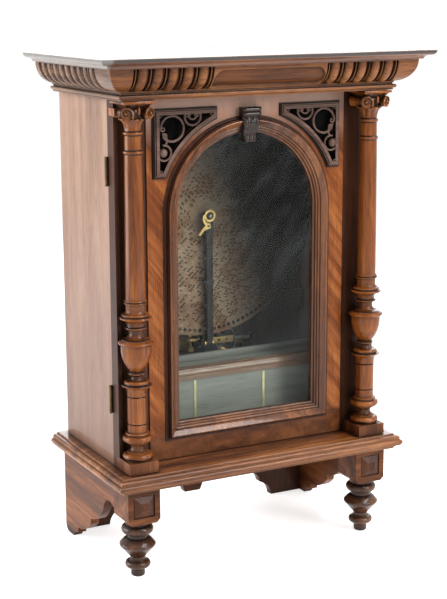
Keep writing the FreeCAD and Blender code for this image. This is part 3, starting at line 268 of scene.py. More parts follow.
# %% [markdown]
# ## Light
# Old varnished furniture is easiest to read in broad, soft light. One large lamp
# stands to the right in front and lights the door. A second, behind on the left, is
# mirrored in the varnish of the side as a pale glare and edges the columns. A third,
# far behind, lies as a sheen on the top, and a fourth hangs over the front and picks
# out the ledges. The world is pale where the camera, gloss and glass look at it, and
# dimmer for the light that it gives, so the background is white without bleaching the
# wood.

# %% Hang the lamps
def hang_lamp(name, place, aim, width, height, watts):
    lamp = bpy.data.lights.new(name, "AREA")
    lamp.shape = "RECTANGLE"
    lamp.size, lamp.size_y, lamp.energy = width, height, watts
    holder = placed(name, lamp)
    holder.location = place
    holder.rotation_euler = (Vector(aim) - Vector(place)).to_track_quat("-Z", "Y").to_euler()
    holder.visible_camera = False
    print("lamp", name, watts, "W")


hang_lamp("front_lamp", (1.7, -3.1, 1.9), (0, 0, 0.5), 1.3, 1.7, 72)
hang_lamp("side_lamp", (-3.0, 1.3, 0.9), (-0.28, 0, 0.5), 2.4, 2.0, 95)
hang_lamp("top_lamp", (1.6, 3.0, 1.75), (0, 0, 0.95), 3.2, 1.5, 60)
hang_lamp("over_lamp", (1.2, -1.1, 2.9), (0.2, -0.1, 0.6), 2.8, 0.7, 52)
bpy.context.scene.view_settings.view_transform = "Standard"

# %% Light the world
SKY_LIGHT, SKY_SEEN = 0.34, 1.0

sky = Finish("studio", "World")
strength = sky.looked_at() * (SKY_SEEN - SKY_LIGHT) + SKY_LIGHT
air = sky.add("ShaderNodeBackground", feeds={"Color": (1, 1, 1, 1), "Strength": strength})
bpy.context.scene.world = sky.end(air)
print("world strength", SKY_LIGHT, "as light,", SKY_SEEN, "as background")

# %% [markdown]
# ## Walnut
# Walnut has three scales of detail: broad light and dark figure, streaks a few
# millimetres wide along the grain, and short dark pores. Each is a noise whose space
# is squeezed along the grain, so it draws out into streaks. Over the wood lies a
# hundred years of polish: the corners are darkened, partly as dirt and partly as
# painted shade, sharp edges are painted pale, partly as wear and partly as a painted
# highlight, and a thin coat of shellac gives the shine. The same recipe serves every
# wooden part with its own direction, tones and amount of dirt and painted shade. A part
# that needs it adds a short rule: the side, painted pale at the top as a glare and
# darker lower down as shade, or the top, dull with dust, worn at its edge and painted
# grey on its left end as a glare with some wear.

# %% Mix walnut
DARK, MID, LIGHT = (0.035, 0.01, 0.004), (0.145, 0.045, 0.015), (0.34, 0.125, 0.045)
STRETCH = {"x": (0.075, 1, 1), "y": (1, 0.075, 1), "z": (1, 1, 0.075)}
# Dark tint for dirt and for painted shade in the corners.
DIRT_SHADE_TINT = (0.012, 0.006, 0.004)
LEVEL_TOP = (0.8, 0.15)


def walnut(name, along, dark=DARK, mid=MID, light=LIGHT, shift=(0, 0, 0), figure=1.0, dirt_shade_amount=0.75,
           wear_and_highlight=0.35, gloss=0.4, coat=0.1, shine=0.12, depth=0.0002, shade_reach=0.016,
           crevice_shade=1.9, haze=0.13, turn=(0, 0, 0), shade=None, dusty=False):
    wood = Finish(name)
    spot = wood.place(STRETCH[along], shift, turn)
    broad = wood.noise(spot, 9.0 * figure, 3.0, 0.5, 1.6)
    streak = wood.noise(spot, 74.0, 5.0, 0.62, 0.7)
    fine = wood.noise(spot, 420.0, 3.0, 0.6)
    tone = broad * 0.52 + streak * 0.34 + fine * 0.14
    tint = wood.ramp(tone, [(0.36, dark), (0.49, mid), (0.62, light)])
    short = [4 * v if v == 1 else v for v in STRETCH[along]]
    pores = wood.noise(wood.place(short, shift), 330.0, 2.0).over(0.62, 0.05)
    tint = wood.blend(tint, [0.35 * v for v in dark], pores * 0.55)
    patch = wood.noise(wood.place((1, 1, 1), shift), 7.0, 4.0, 0.6)
    # Corners found by ambient occlusion, with noise patches, are darkened: dirt, and painted shade.
    corner = wood.crevice(shade_reach)
    dirt_and_shade = (corner * crevice_shade + patch * 0.5 - 0.36).least(1.0).most(0.0) * dirt_shade_amount
    tint = wood.blend(tint, DIRT_SHADE_TINT, dirt_and_shade)
    # Sharp edges are painted pale in patches: wear, and a painted highlight.
    edge_wear_highlight = (wood.edge(0.0018) * patch.over(0.5, 0.2)).least(1.0) * wear_and_highlight
    tint = wood.blend(tint, [min(1.0, 1.5 * v + 0.05) for v in light], edge_wear_highlight)
    if shade is not None:
        tint = shade(wood, tint)
    polish = gloss + (streak - 0.5) * 0.16 + dirt_and_shade * 0.25 + pores * 0.1
    if dusty:
        dust = wood.facing_up().over(*LEVEL_TOP)
        polish = polish + dust * 0.5
        coat = (1 - dust * 0.25) * coat
    relief = wood.bump(streak * 0.35 + fine * 0.3 - pores * 0.8, depth)
    return wood.done(Base_Color=tint, Roughness=polish, Normal=relief,
                     Specular_IOR_Level=haze, Coat_Roughness=shine, Coat_Weight=coat)


print("walnut can be mixed along", *STRETCH)


# %% Mix the woods of the case and its carving
def side_glare_and_shade(wood, tint):
    """The side is painted pale at the top as a glare of the lamp, and darker lower down as shade.
    """
    cloud = wood.noise(wood.place((1, 1, 0.4)), 9.0, 4.0, 0.6)
    low = 1 - (wood.at("Z") + cloud * 0.3).over(0.66, 0.42)
    # The lower part is painted darker as shade.
    tint = wood.blend(tint, (0.13, 0.046, 0.018), low * 0.8)
    # Pale clouds higher up are a painted glare.
    return wood.blend(tint, (0.46, 0.27, 0.18), cloud.over(0.56, 0.12) * (1 - low) * 0.5)


# The side's walnut is written lighter than the other walnut, standing in part for the glare on its
# varnish.
glare_lit_case_wood = walnut("case_walnut_glare_lit", "z", (0.2, 0.09, 0.045), (0.33, 0.165, 0.095),
                   (0.46, 0.26, 0.165), gloss=0.42, figure=1.2, coat=0.3, haze=0.42,
                   shade=side_glare_and_shade)
wood_x = walnut("walnut_across", "x", shift=(0.3, 1.1, 0.2))
wood_y = walnut("walnut_deep", "y", shift=(1.3, 0.1, 0.7))
wood_z = walnut("walnut_upright", "z", shift=(0.8, 0.4, 1.9))


def worn_edge_and_glare(wood, tint):
    """A dark band along the edge, the left end painted grey as a glare with some wear, and bare
    wood along the arris.
    """
    chips = wood.noise(wood.place((0.3, 1, 1)), 60.0, 5.0, 0.7)
    level = wood.at("Z")
    line = (1 - level.over(0.9772, 0.0008)) * level.over(0.971, 0.001)
    tint = wood.blend(tint, (0.02, 0.009, 0.005), line)
    # The left end is painted grey: painted glare, with some wear.
    left = (1 - wood.at("X").over(-0.324, 0.004)) * (1 - wood.facing_up().over(*LEVEL_TOP))
    tint = wood.blend(tint, (0.26, 0.24, 0.22), left * (0.45 + chips * 0.5))
    bare = (wood.edge(0.0022) * chips.over(0.44, 0.1) * level.over(0.9765, 0.0005)).least(1.0)
    return wood.blend(tint, (0.8, 0.74, 0.68), bare)


top_wood = walnut("top_board", "x", shift=(0.9, 0.4, 0.2), haze=0.5, coat=0.4, shade=worn_edge_and_glare,
                  dusty=True)
carved_x = walnut("carved_walnut_across", "x", DARK, (0.22, 0.072, 0.02), (0.5, 0.2, 0.065),
                  shift=(0.3, 1.1, 0.2), dirt_shade_amount=1.0, shade_reach=0.02, coat=0.25)
carved_y = walnut("carved_walnut_deep", "y", (0.06, 0.026, 0.014), (0.2, 0.1, 0.056),
                  (0.4, 0.24, 0.15), shift=(1.3, 0.1, 0.7), dirt_shade_amount=1.0, shade_reach=0.02, coat=0.3)
# A darker walnut for the sunk panel: painted shade of the recess.
sunk_shade_wood = walnut("cartouche_walnut_shaded", "x", (0.03, 0.009, 0.003), (0.1, 0.03, 0.009),
                   (0.22, 0.074, 0.022), shift=(0.3, 1.1, 0.2), dirt_shade_amount=1.0, coat=0.15)
arch_wood = walnut("arch_walnut", "z", (0.045, 0.013, 0.004), (0.17, 0.052, 0.014),
                   (0.38, 0.14, 0.045), gloss=0.26, coat=0.6, shine=0.07, dirt_shade_amount=1.0,
                   wear_and_highlight=0.5, crevice_shade=2.4, shift=(0.8, 0.4, 1.9))
key_wood = walnut("key_walnut", "z", (0.012, 0.006, 0.004), (0.035, 0.014, 0.008),
                  (0.1, 0.045, 0.026), gloss=0.22, coat=0.6, shine=0.1, wear_and_highlight=0.7,
                  shift=(0.6, 0.2, 0.4))
base_wood = walnut("base_walnut", "x", (0.05, 0.014, 0.004), (0.24, 0.077, 0.021),
                   (0.5, 0.2, 0.065), gloss=0.26, coat=0.35, shine=0.09, wear_and_highlight=0.85,
                   dirt_shade_amount=1.0, crevice_shade=2.4, shift=(0.5, 0.9, 0.1))
print("walnut mixed; materials so far:", len(bpy.data.materials))

# %% [markdown]
# ## The other woods
# The door panel is a veneer: a thin slice of figured walnut whose grain lies aslant,
# with a head painted pale as a sheen of reflected light and a darker burr along its
# foot. The columns were turned from plain straight stuff and stained warmer, with a
# dark line at each ring and step: stain in the scored rings and painted shade in the
# crevices. The stiles, the back apron and the outer hollow of the door moulding are
# dark: a dark stain deepened as painted shade beside the columns and in the hollow.
# The rims of the frets are nearly black: ebonised, and painted with the shadow beside
# the proud frame. The woods inside are pine, darkened to near black as stain and
# painted shade inside the case, and grey-painted boards, lightened to stand in part
# for a reflection on the glass.

# %% Mix the veneer, column, dark and inner woods
BLACK_STAIN_AND_SHADE = (0.01, 0.005, 0.004)
RING_LEVELS = (0.304, 0.3565, 0.3798, 0.4018, 0.4655, 0.4888, 0.509, 0.5352, 0.8055, 0.8125,
               0.8395, 0.8465)


def head_sheen_foot_burr(wood, tint):
    """The head of the door is painted pale as a sheen of reflected light; its foot is a darker burr
    with worm holes.
    """
    level = wood.at("Z")
    cloud = wood.noise(wood.place(), 11.0, 4.0)
    # The head is painted pale: a painted sheen of reflected light.
    painted_sheen = (level + cloud * 0.06).over(0.885, 0.06) * 0.8
    tint = wood.blend(tint, (0.6, 0.41, 0.33), painted_sheen)
    foot = 1 - level.over(0.262, 0.006)
    knots = wood.noise(wood.place((0.5, 1, 1)), 44.0, 6.0, 0.6, 0.3)
    burr = wood.ramp(knots, [(0.34, (0.055, 0.016, 0.006)), (0.5, (0.13, 0.042, 0.014)),
                             (0.66, (0.22, 0.08, 0.028))])
    tint = wood.blend(tint, burr, foot * 0.85)
    worm = wood.noise(wood.place(), 300.0, 1.0).over(0.72, 0.02) * foot
    return wood.blend(tint, BLACK_STAIN_AND_SHADE, worm * 0.9)


def ring_stain_and_shade(wood, tint):
    """A dark line at each ring and step: stain in the scored rings, painted shade in the crevices.
    """
    height, stain = wood.at("Z"), 0.0
    for level in RING_LEVELS:
        # A dark line at each level: stain, and painted shade in the crevices.
        stain = (1 - abs(height - level).over(0.0013, 0.0006)).most(stain)
    return wood.blend(tint, BLACK_STAIN_AND_SHADE, stain * 0.9)


veneer = walnut("veneer", "z", (0.1, 0.022, 0.004), (0.28, 0.075, 0.014), (0.5, 0.165, 0.04),
                figure=2.4, gloss=0.34, wear_and_highlight=0.2, shift=(0.2, 0.5, 0.4), dirt_shade_amount=0.9,
                coat=0.12, turn=(0, math.radians(38), 0), shade_reach=0.024, shade=head_sheen_foot_burr)
column_wood = walnut("column_walnut", "z", (0.075, 0.017, 0.003), (0.25, 0.066, 0.009),
                     (0.45, 0.145, 0.026), gloss=0.24, coat=0.36, shine=0.07, figure=1.5,
                     shift=(2.1, 0.2, 0.3), dirt_shade_amount=1.0, shade_reach=0.02, crevice_shade=2.8, wear_and_highlight=0.3,
                     shade=ring_stain_and_shade)
foot_wood = walnut("foot_walnut", "z", (0.025, 0.008, 0.003), (0.09, 0.032, 0.014),
                   (0.2, 0.085, 0.042), gloss=0.24, coat=0.42, shine=0.08, crevice_shade=2.8,
                   figure=1.5, shift=(0.4, 1.7, 0.9), dirt_shade_amount=1.0, wear_and_highlight=0.6)
fret_wood = walnut("fret_walnut", "x", (0.05, 0.024, 0.017), (0.13, 0.068, 0.048),
                   (0.22, 0.13, 0.1), gloss=0.3, coat=0.4, shift=(1.4, 0.2, 0.9), dirt_shade_amount=0.9)
# Dark walnut: a stain, deepened as painted shade on the stiles and back apron and in the arch's
# hollow; the foot diamonds take it too.
stain_and_shade_wood = walnut("stile_walnut_stain_and_shade", "z", (0.03, 0.01, 0.005), (0.07, 0.024, 0.011),
                    (0.13, 0.045, 0.02), gloss=0.42, shift=(0.7, 1.2, 0.1), dirt_shade_amount=0.7)
rail_wood = walnut("rail_walnut", "x", (0.15, 0.075, 0.042), (0.3, 0.16, 0.1), (0.42, 0.26, 0.18),
                   gloss=0.3, coat=0.4, shine=0.06, shift=(0.1, 0.2, 0.1), dirt_shade_amount=0.9, haze=0.4)
# Near black: ebonised, and painted shadow on the fret's outer steps.
ebony_and_shade_wood = walnut("ebonised_walnut_and_shade", "x", (0.006, 0.004, 0.003), (0.014, 0.008, 0.005),
                   (0.03, 0.016, 0.01), gloss=0.4, dirt_shade_amount=0.4, wear_and_highlight=0.5, coat=0.0)
# Pine darkened to near black: stain, and painted shade inside the case.
pine = walnut("stained_pine_and_shade", "z", (0.016, 0.01, 0.007), (0.032, 0.021, 0.015),
              (0.055, 0.036, 0.024), gloss=0.6, coat=0.0, figure=1.3, dirt_shade_amount=0.8)
# Grey paint, lightened to stand in part for a reflection on the glass.
grey_paint_and_reflection = walnut("grey_paint_and_reflection_wood", "x", (0.28, 0.29, 0.26), (0.36, 0.37, 0.335),
                    (0.43, 0.44, 0.405), gloss=0.5, coat=0.1, dirt_shade_amount=0.7)
print("the other woods mixed")

# %% [markdown]
# ## Metals
# Four metals are seen through the glass. The tune disc is thin steel that has gone
# brown, with painted shade darkening it towards its right and top; its music is punched
# as short projections, set in rings, so the slots are drawn in polar space: the radius
# picks the ring, the angle picks the cell, and a random number per cell says whether a
# slot is there. The bar is black iron, the wheels and the latch are old brass, and the
# combs and rollers are bare steel. The hinges are a duller brass and the strips in the
# panel a paler one.

# %% Mix brass, iron and steel
def old_metal(name, clean, tarnish, gloss, cover, scale=46.0):
    metal = Finish(name)
    spot = metal.place()
    cloud = metal.noise(spot, scale, 6.0, 0.62, 0.6)
    speck = metal.noise(spot, scale * 9, 3.0)
    stain = cloud.over(0.52, 0.16) * cover + metal.crevice(0.008) * 0.8 + speck * 0.2 - 0.1
    stain = stain.least(1.0).most(0.0)
    tint = metal.blend(clean, tarnish, stain)
    relief = metal.bump(cloud * 0.6 + speck * 0.4, 0.00012)
    return metal.done(Base_Color=tint, Metallic=1.0 - stain * 0.45, Normal=relief,
                      Roughness=stain * 0.3 + speck * 0.12 + gloss)


brass = old_metal("old_brass", (0.62, 0.43, 0.17), (0.22, 0.13, 0.05), 0.24, 0.55)
steel = old_metal("grey_steel", (0.24, 0.235, 0.23), (0.07, 0.055, 0.045), 0.3, 0.6)
iron = old_metal("black_iron", (0.035, 0.034, 0.034), (0.018, 0.014, 0.012), 0.38, 0.5)
dull_brass = old_metal("dull_brass", (0.12, 0.08, 0.035), (0.02, 0.013, 0.008), 0.4, 0.8)
pale_brass = old_metal("pale_brass", (0.7, 0.66, 0.42), (0.42, 0.38, 0.22), 0.5, 0.6)
print("metals mixed")

# %% Punch the tune disc
DISC_HEIGHT, TUNE_INSIDE, TUNE_OUTSIDE = 0.6486, 0.03, 0.232
HOLES, HOLE_RING, SPROCKET_X = 132, 0.2385, -0.0265
FIRST_HOLE = math.atan2(-math.sqrt(HOLE_RING ** 2 - SPROCKET_X ** 2), SPROCKET_X)


def disc_steel(ring=0.0038, cell=0.0092):
    disc = Finish("tune_disc_steel")
    spot = disc.add("ShaderNodeTexCoord", out="Object")
    x = disc.add("ShaderNodeSeparateXYZ", feeds={"Vector": spot}, out="X")
    z = x.twin("Z") - DISC_HEIGHT
    radius = (x * x + z * z) ** 0.5
    angle = disc.maths("ARCTAN2", z, x)
    track = radius / ring
    row = math.floor(track)
    along = angle * (row * ring) / cell
    column = math.floor(along)
    key = disc.add("ShaderNodeCombineXYZ", feeds={"X": row, "Y": column, "Z": 3.7})
    dice = disc.add("ShaderNodeTexWhiteNoise", feeds={"Vector": key}, out="Value")
    across_ring, along_cell = abs(track - row - 0.5), abs(along - column - 0.5)
    slot = (1 - across_ring.over(0.3, 0.06)) * (1 - along_cell.over(0.28, 0.05))
    here = radius.over(TUNE_INSIDE, 0.001) * (1 - radius.over(TUNE_OUTSIDE, 0.001))
    beat = (angle - FIRST_HOLE) * (HOLES / math.tau) + 0.5
    swing = (beat - math.floor(beat) - 0.5) * (math.tau * HOLE_RING / HOLES)
    hole = 1 - ((swing * swing + (radius - HOLE_RING) ** 2) ** 0.5).over(0.0037, 0.0007)
    punched = (slot * dice.over(0.56, 0.01) * here).most(hole)
    cloud = disc.noise(spot, 17.0, 7.0, 0.66, 0.5)
    speck = disc.noise(spot, 260.0, 4.0, 0.7)
    tint = disc.ramp(cloud * 0.7 + speck * 0.3, [(0.36, (0.12, 0.055, 0.026)),
                                                (0.48, (0.26, 0.15, 0.085)),
                                                (0.62, (0.44, 0.33, 0.235))])
    # Towards its right and top the disc is painted dark grey: painted shade.
    painted_shade_side = (x * 0.9 + z * 0.35 + cloud * 0.12).over(0.07, 0.09)
    tint = disc.blend(tint, (0.014, 0.014, 0.013), painted_shade_side * 0.97)
    tint = disc.blend(tint, (0.006, 0.005, 0.004), punched)
    relief = disc.bump((speck * 0.2 - punched) * (1 - painted_shade_side), 0.0003)
    return disc.done(Base_Color=tint, Roughness=cloud * 0.3 + 0.42, Normal=relief,
                     Metallic=0.3, Specular_IOR_Level=0.2)


disc_metal = disc_steel()
print("disc punched, with", HOLES, "drive holes at its edge")

# %% [markdown]
# ## Glass
# Old window glass is clear, slightly green, and a little wavy. A real refracting
# shader would leave the inside of the case dark, because lamps don't shine through it
# directly, so the pane mixes a clear shader with a glossy one, and Fresnel says how
# much is mirrored at each angle. Where it was wiped, a very thin pale film glows
# faintly: painted light that stands for the light those smears catch.

# %% Mix the glass
def window_glass():
    pane = Finish("window_glass")
    wave = pane.noise(pane.place(), 8.0, 1.0)
    relief = pane.bump(wave, 0.0008)
    mirror = pane.add("ShaderNodeFresnel", feeds={"IOR": 1.16, "Normal": relief})
    clear = pane.add("ShaderNodeBsdfTransparent", feeds={"Color": (0.94, 0.96, 0.945, 1)})
    gloss = pane.add("ShaderNodeBsdfGlossy", feeds={"Roughness": 0.02, "Normal": relief})
    sheet = pane.add("ShaderNodeMixShader", feeds={0: mirror, 1: clear, 2: gloss})
    wipes = pane.noise(pane.place((1, 1, 3.4), turn=(0, 0.9, 0)), 10.0, 6.0, 0.6, 0.7)
    # A faint glow on the wiped streaks, and a fainter one over the whole pane: painted light.
    glow_film = pane.add("ShaderNodeEmission", feeds={"Color": (0.86, 0.92, 0.92, 1), "Strength": 0.5})
    cover = wipes.over(0.58, 0.14) * 0.034 + 0.004
    return pane.end(pane.add("ShaderNodeMixShader", feeds={0: cover, 1: sheet, 2: glow_film}))


glass = window_glass()
print("glass mixed")

# %% [markdown]
# ## Floor
# A wide pale sheet stands for the studio floor. It is white to the camera, to gloss
# and to glass, and still catches the shadow of the case.

# %% Lay the floor
def as_mesh(bm, name):
    mesh = bpy.data.meshes.new(name)
    bm.to_mesh(mesh)
    bm.free()
    return mesh


def lay_floor():
    bm = bmesh.new()
    bmesh.ops.create_grid(bm, x_segments=1, y_segments=1, size=30.0)
    mesh = as_mesh(bm, "studio_floor")
    paper = Finish("white_paper")
    tone = paper.noise(paper.place(), 3.0, 2.0)
    tint = paper.blend((0.86, 0.86, 0.86), (0.9, 0.9, 0.9), tone)
    matt = paper.add("ShaderNodeBsdfDiffuse", feeds={"Color": tint})
    light = paper.add("ShaderNodeEmission", feeds={"Color": (1, 1, 1, 1), "Strength": 0.72})
    both = paper.add("ShaderNodeAddShader", feeds={0: matt, 1: light})
    lit = paper.add("ShaderNodeMixShader", feeds={0: paper.looked_at(), 1: matt, 2: both})
    mesh.materials.append(paper.end(lit))
    floor = placed("studio_floor", mesh)


lay_floor()
print("floor laid")

# %% [markdown]
# ## Finishes for the parts that stay
# Flat boards, the shelf and the small movement parts already have their true shape,
# so they keep it and only take a finish. The solids that a new piece will stand for
# take one too, in case they are ever shown plain. A name that isn't a part by itself
# stands for its left and its right part.

# %% Finish the carried-over parts
CARRIED_OVER = [
    (glare_lit_case_wood, "side_panel"),
    (top_wood, "cornice_top"),
    (rail_wood, "front_rail"),
    (wood_x, "base_board cornice_front foot_block"),
    (wood_y, "cornice side_apron"),
    (stain_and_shade_wood, "door_stile back_apron"),
    (wood_z, "arch_moulding keystone spandrel_fret column_plinth turned_foot"),
    (column_wood, "column capital crank_grip"),
    (veneer, "door_panel"),
    (pine, "back_panel bed_rails"),
    (grey_paint_and_reflection, "shelf lower_panel"),
    (glass, "door_glass"),
    (disc_metal, "disc"),
    (iron, "pressure_bar bedplate comb_beds star_gantry motor_frame"),
    (dull_brass, "case_hinges door_hinges"),
    (brass, "bar_bracket latch_lever drive_sprocket sprocket_bracket crank_bush door_lock"
            " lock_keep governor spring_barrel"),
    (steel, "comb star_wheels spindle intermediate_shaft winding_crank pressure_rollers"
            " lock_bolt"),
]
finished = set()
for finish, names in CARRIED_OVER:
    for name in names.split():
        for node in [name] if name in nodes else [f"{name}_left", f"{name}_right"]:
            nodes[node].data.materials.clear()
            nodes[node].data.materials.append(finish)
            finished.add(node)
print("finished", len(finished), "of", len(nodes), "parts")

# %% [markdown]
# ## Tools for the new pieces
# Turned and moulded work starts from a flat outline. `trace` follows one in
# millimetres: two numbers go straight to a point, four numbers go round to it by a
# middle point. A mesh is then spun, pushed or sliced from that wire, turned into
# metres, and set in the frame with `settle`, which also says which body it rides on
# and which plain solid it stands for.

# %% Follow an outline
def round_by(start, middle, end, fine):
    """Points on the circle through three places, after the first."""
    a, b = middle - start, end - start
    cross = 2 * (a.x * b.y - a.y * b.x)
    if abs(cross) < 1e-9:
        return [end]
    hub = start + Vector((b.y * a.length_squared - a.y * b.length_squared,
                          a.x * b.length_squared - b.x * a.length_squared)) / cross
    first = math.atan2(start.y - hub.y, start.x - hub.x)
    sweep = (math.atan2(end.y - hub.y, end.x - hub.x) - first) % math.tau
    if (math.atan2(middle.y - hub.y, middle.x - hub.x) - first) % math.tau > sweep:
        sweep -= math.tau
    radius = (start - hub).length
    turns = [first + sweep * i / fine for i in range(1, fine + 1)]
    return [hub + radius * Vector((math.cos(t), math.sin(t))) for t in turns]


def trace(steps, fine=6):
    """Points along an outline, in millimetres."""
    points = [Vector(steps[0])]
    for step in steps[1:]:
        end = Vector(step[-2:])
        if len(step) == 4:
            points += round_by(points[-1], Vector(step[:2]), end, fine)
        else:
            points.append(end)
    return points


print("a quarter round has", len(trace([(0, 0), (7, 3, 10, 10)])), "points")


# %% Slice, join and settle
def only(kind, geom):
    """The points, edges or faces among what an operator made."""
    return [item for item in geom if isinstance(item, kind)]


def slice_off(bm, place, way, close=True):
    """Cuts a shape with a plane, drops the side that way points to, and can close the cut."""
    geom = bm.verts[:] + bm.edges[:] + bm.faces[:]
    cut = bmesh.ops.bisect_plane(bm, geom=geom, plane_co=place, plane_no=way, clear_outer=True)
    if close:
        bmesh.ops.edgeloop_fill(bm, edges=only(BMEdge, cut["geom_cut"]))


def pour(into, other, finish=None):
    """Adds one shape to another, with its faces in a given material slot."""
    if finish is not None:
        for face in other.faces:
            face.material_index = finish
    mesh = as_mesh(other, "poured")
    into.from_mesh(mesh)
    bpy.data.meshes.remove(mesh)
    return into


def settle(bm, name, finishes, body, stands_for=(), smooth=32):
    """Closes a shape, turns it into metres and sets it in the frame."""
    bmesh.ops.remove_doubles(bm, verts=bm.verts, dist=0.002)
    bmesh.ops.dissolve_degenerate(bm, edges=bm.edges, dist=0.001)
    bmesh.ops.recalc_face_normals(bm, faces=bm.faces)
    bmesh.ops.scale(bm, vec=(0.001, 0.001, 0.001), verts=bm.verts)
    open_edges = sum(1 for e in bm.edges if len(e.link_faces) != 2)
    mesh = as_mesh(bm, name)
    for finish in finishes if isinstance(finishes, list) else [finishes]:
        mesh.materials.append(finish)
    mesh.shade_smooth()
    mesh.set_sharp_from_angle(angle=math.radians(smooth))
    piece = placed(name, mesh)
    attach(piece, body)
    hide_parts(*stands_for)
    print(name, len(mesh.polygons), "faces,", open_edges, "open edges")
    return piece


def settle_pair(bm, name, finishes, body, node=None, smooth=32):
    """Settles the left piece and its mirror image."""
    other = bm.copy()
    bmesh.ops.scale(other, vec=(-1, 1, 1), verts=other.verts)
    for side, shape in (("left", bm), ("right", other)):
        stands_for = [f"{node}_{side}"] if node else []
        settle(shape, f"{name}_{side}", finishes, body, stands_for, smooth)


print("shapes can be sliced, joined and settled")

# %% [markdown]
# ## Turned work
# A lathe part is one outline of radius and height, spun full circle. The columns have
# a round base, a drum between two scored rings, a spreading cup, an urn, and a slim
# tapering shaft with rings at its foot and its neck. Their outline is written from the
# plinth up and lifted as a whole. The feet are a stack of beads and a bulb on a small
# round pad.

# %% Spin the columns and feet
def wire(bm, points, place, closed=True):
    """Points put in the mesh at their places, and the edges between them."""
    verts = [bm.verts.new(place(p)) for p in points]
    ends = verts[1:] + verts[:1] if closed else verts[1:]
    return verts, [bm.edges.new(pair) for pair in zip(verts, ends)]


def move(bm, *way):
    bmesh.ops.translate(bm, verts=bm.verts, vec=way)
    return bm


def lathe(steps, x, y, turns=72, fine=7, hollow=False):
    """Spins an outline of radius and height about a vertical axis; hollow makes a ring."""
    bm = bmesh.new()
    if not hollow:
        steps = [(0, steps[0][-1])] + steps + [(0, steps[-1][-1])]
    verts, edges = wire(bm, trace(steps, fine), lambda p: (p.x, 0, p.y), hollow)
    bmesh.ops.spin(bm, geom=verts + edges, cent=(0, 0, 0), axis=(0, 0, 1), angle=math.tau,
                   steps=turns, use_merge=True)
    return move(bm, x, y, 0)


COLUMN_X, COLUMN_Y = -251.75, -103.75
FOOT_X, FOOT_Y = -252, -96.5
PLINTH_TOP, NECK = 234.0, 809.0
COLUMN = [
    (23.5, 0), (23.5, 1.5), (28.3, 7.5, 23.0, 13.5), (19.5, 14.6), (19.5, 16),
    (13.0, 23.5, 16.5, 31.5), (20, 33), (20, 34.5), (23.5, 35.5), (28.2, 41.5, 23.4, 47.4),
    (21.2, 47.8), (21.2, 49.2), (22.8, 51.4, 20.4, 53.6), (18.3, 54.4), (18.3, 68.8),
    (17.0, 70), (18.3, 71.2), (18.3, 121), (17.0, 122.5), (18.6, 124), (19.2, 133, 22.6, 140),
    (28.0, 142.6), (28.8, 144, 27.4, 145.4), (23.6, 145.8), (23.6, 147),
    (23.4, 151, 17.5, 152.6), (11.8, 155, 10.2, 161), (12.2, 164.6), (15.6, 165.2),
    (15.6, 168.6), (12.8, 169.4), (13.2, 171), (24.6, 190, 28.8, 216), (28.8, 219.4),
    (32.4, 222.4), (33.4, 224.8, 32.0, 227), (26.6, 229.6), (26.6, 231.4), (23.8, 232.6),
    (14.6, 237, 12.9, 243), (13.2, 248), (18.8, 250.6), (20, 252.4, 18.8, 254.2), (16.8, 255),
    (18.2, 263, 25.4, 267.4), (28.8, 269.6), (29.8, 271.2, 28.8, 272.8), (24.6, 274.2),
    (24.6, 275.2), (26.2, 277.2, 24.4, 279.2), (20.5, 281, 18.7, 288), (18.7, 297), (21.4, 298),
    (22.4, 299.6, 21.4, 301.2), (20.0, 301.4), (20.8, 303, 20.0, 304.6), (18.6, 305.4),
    (18.6, 320),
]
COLUMN = [tuple(v + PLINTH_TOP if i % 2 else v for i, v in enumerate(step)) for step in COLUMN]
COLUMN += [(16.3, NECK - 4), (18.4, NECK, 15.8, NECK + 4), (15.6, NECK + 30),
           (18.1, NECK + 34, 15.2, NECK + 38)]
settle_pair(lathe(COLUMN, COLUMN_X, COLUMN_Y), "turned_column", column_wood, "door",
            "column")

FOOT = [
    (9, 0), (12.2, 1.2, 13.4, 4), (13.4, 13), (19, 17.5), (24.3, 25.5, 17, 31.5), (14.3, 34),
    (14.3, 39), (23, 49, 33, 60.5), (34.6, 64, 33, 67.5), (26, 75), (19, 78.5), (19, 84),
    (24, 86), (30.6, 95, 25.5, 102.5), (23, 104), (24.7, 112),
]
settle_pair(lathe(FOOT, FOOT_X, FOOT_Y), "ball_foot", foot_wood, "case",
            "turned_foot")

# %% [markdown]
# ## Carved cornice
# Under the top board runs a quarter round carved with gadroons: broad swelling
# tongues, with a thin raised fillet and a groove on each side between them. In the
# middle of the front a long panel with rounded ends is sunk into the moulding and left
# bare; it takes a darker walnut, painted shade of the recess. A fine grid is bent round
# the quarter, and each of its points is pushed in or out by one rule of its place along
# the run, so the carving follows the moulding exactly. The sheet is pushed back into a
# solid, and the corners are mitred.

# %% Bend and carve a sheet
CREST, DROP, REACH, FACE_TALL = 959, 41, 36.5, 61.0
FILLET, GROOVE_DEEP = 1.9, 7.5


def carved_solid(across, down, place, back_y):
    """A grid bent to a carved face, pushed back to a flat back."""
    bm = bmesh.new()
    bmesh.ops.create_grid(bm, x_segments=across, y_segments=down, size=0.5)
    for vert in bm.verts:
        vert.co = place(vert.co.x + 0.5, vert.co.y + 0.5)
    grown = bmesh.ops.extrude_face_region(bm, geom=bm.faces[:])["geom"]
    for vert in only(BMVert, grown):
        vert.co.y = back_y
    return bm


def tongue(along, pitch, first, last):
    """Height of the carving at a place along the run: tongues, fillets and grooves."""
    if not first - 5 < along < last + 5:
        return 0.0
    share = ((along - first) / pitch) % 1.0
    from_fillet = min(share, 1 - share) * pitch
    ground = -GROOVE_DEEP * min(1.0, (5 - max(first - along, along - last, 0)) / 2.5)
    if from_fillet < FILLET:
        return ground + 6.4 * math.sqrt(max(0.0, 1 - (from_fillet / FILLET) ** 2))
    if not first < along < last:
        return ground
    rise = (share - 0.5) * pitch / (pitch / 2 - 4.6)
    return ground + 8.6 * max(0.0, 1 - abs(rise) ** 2.2) ** 0.6


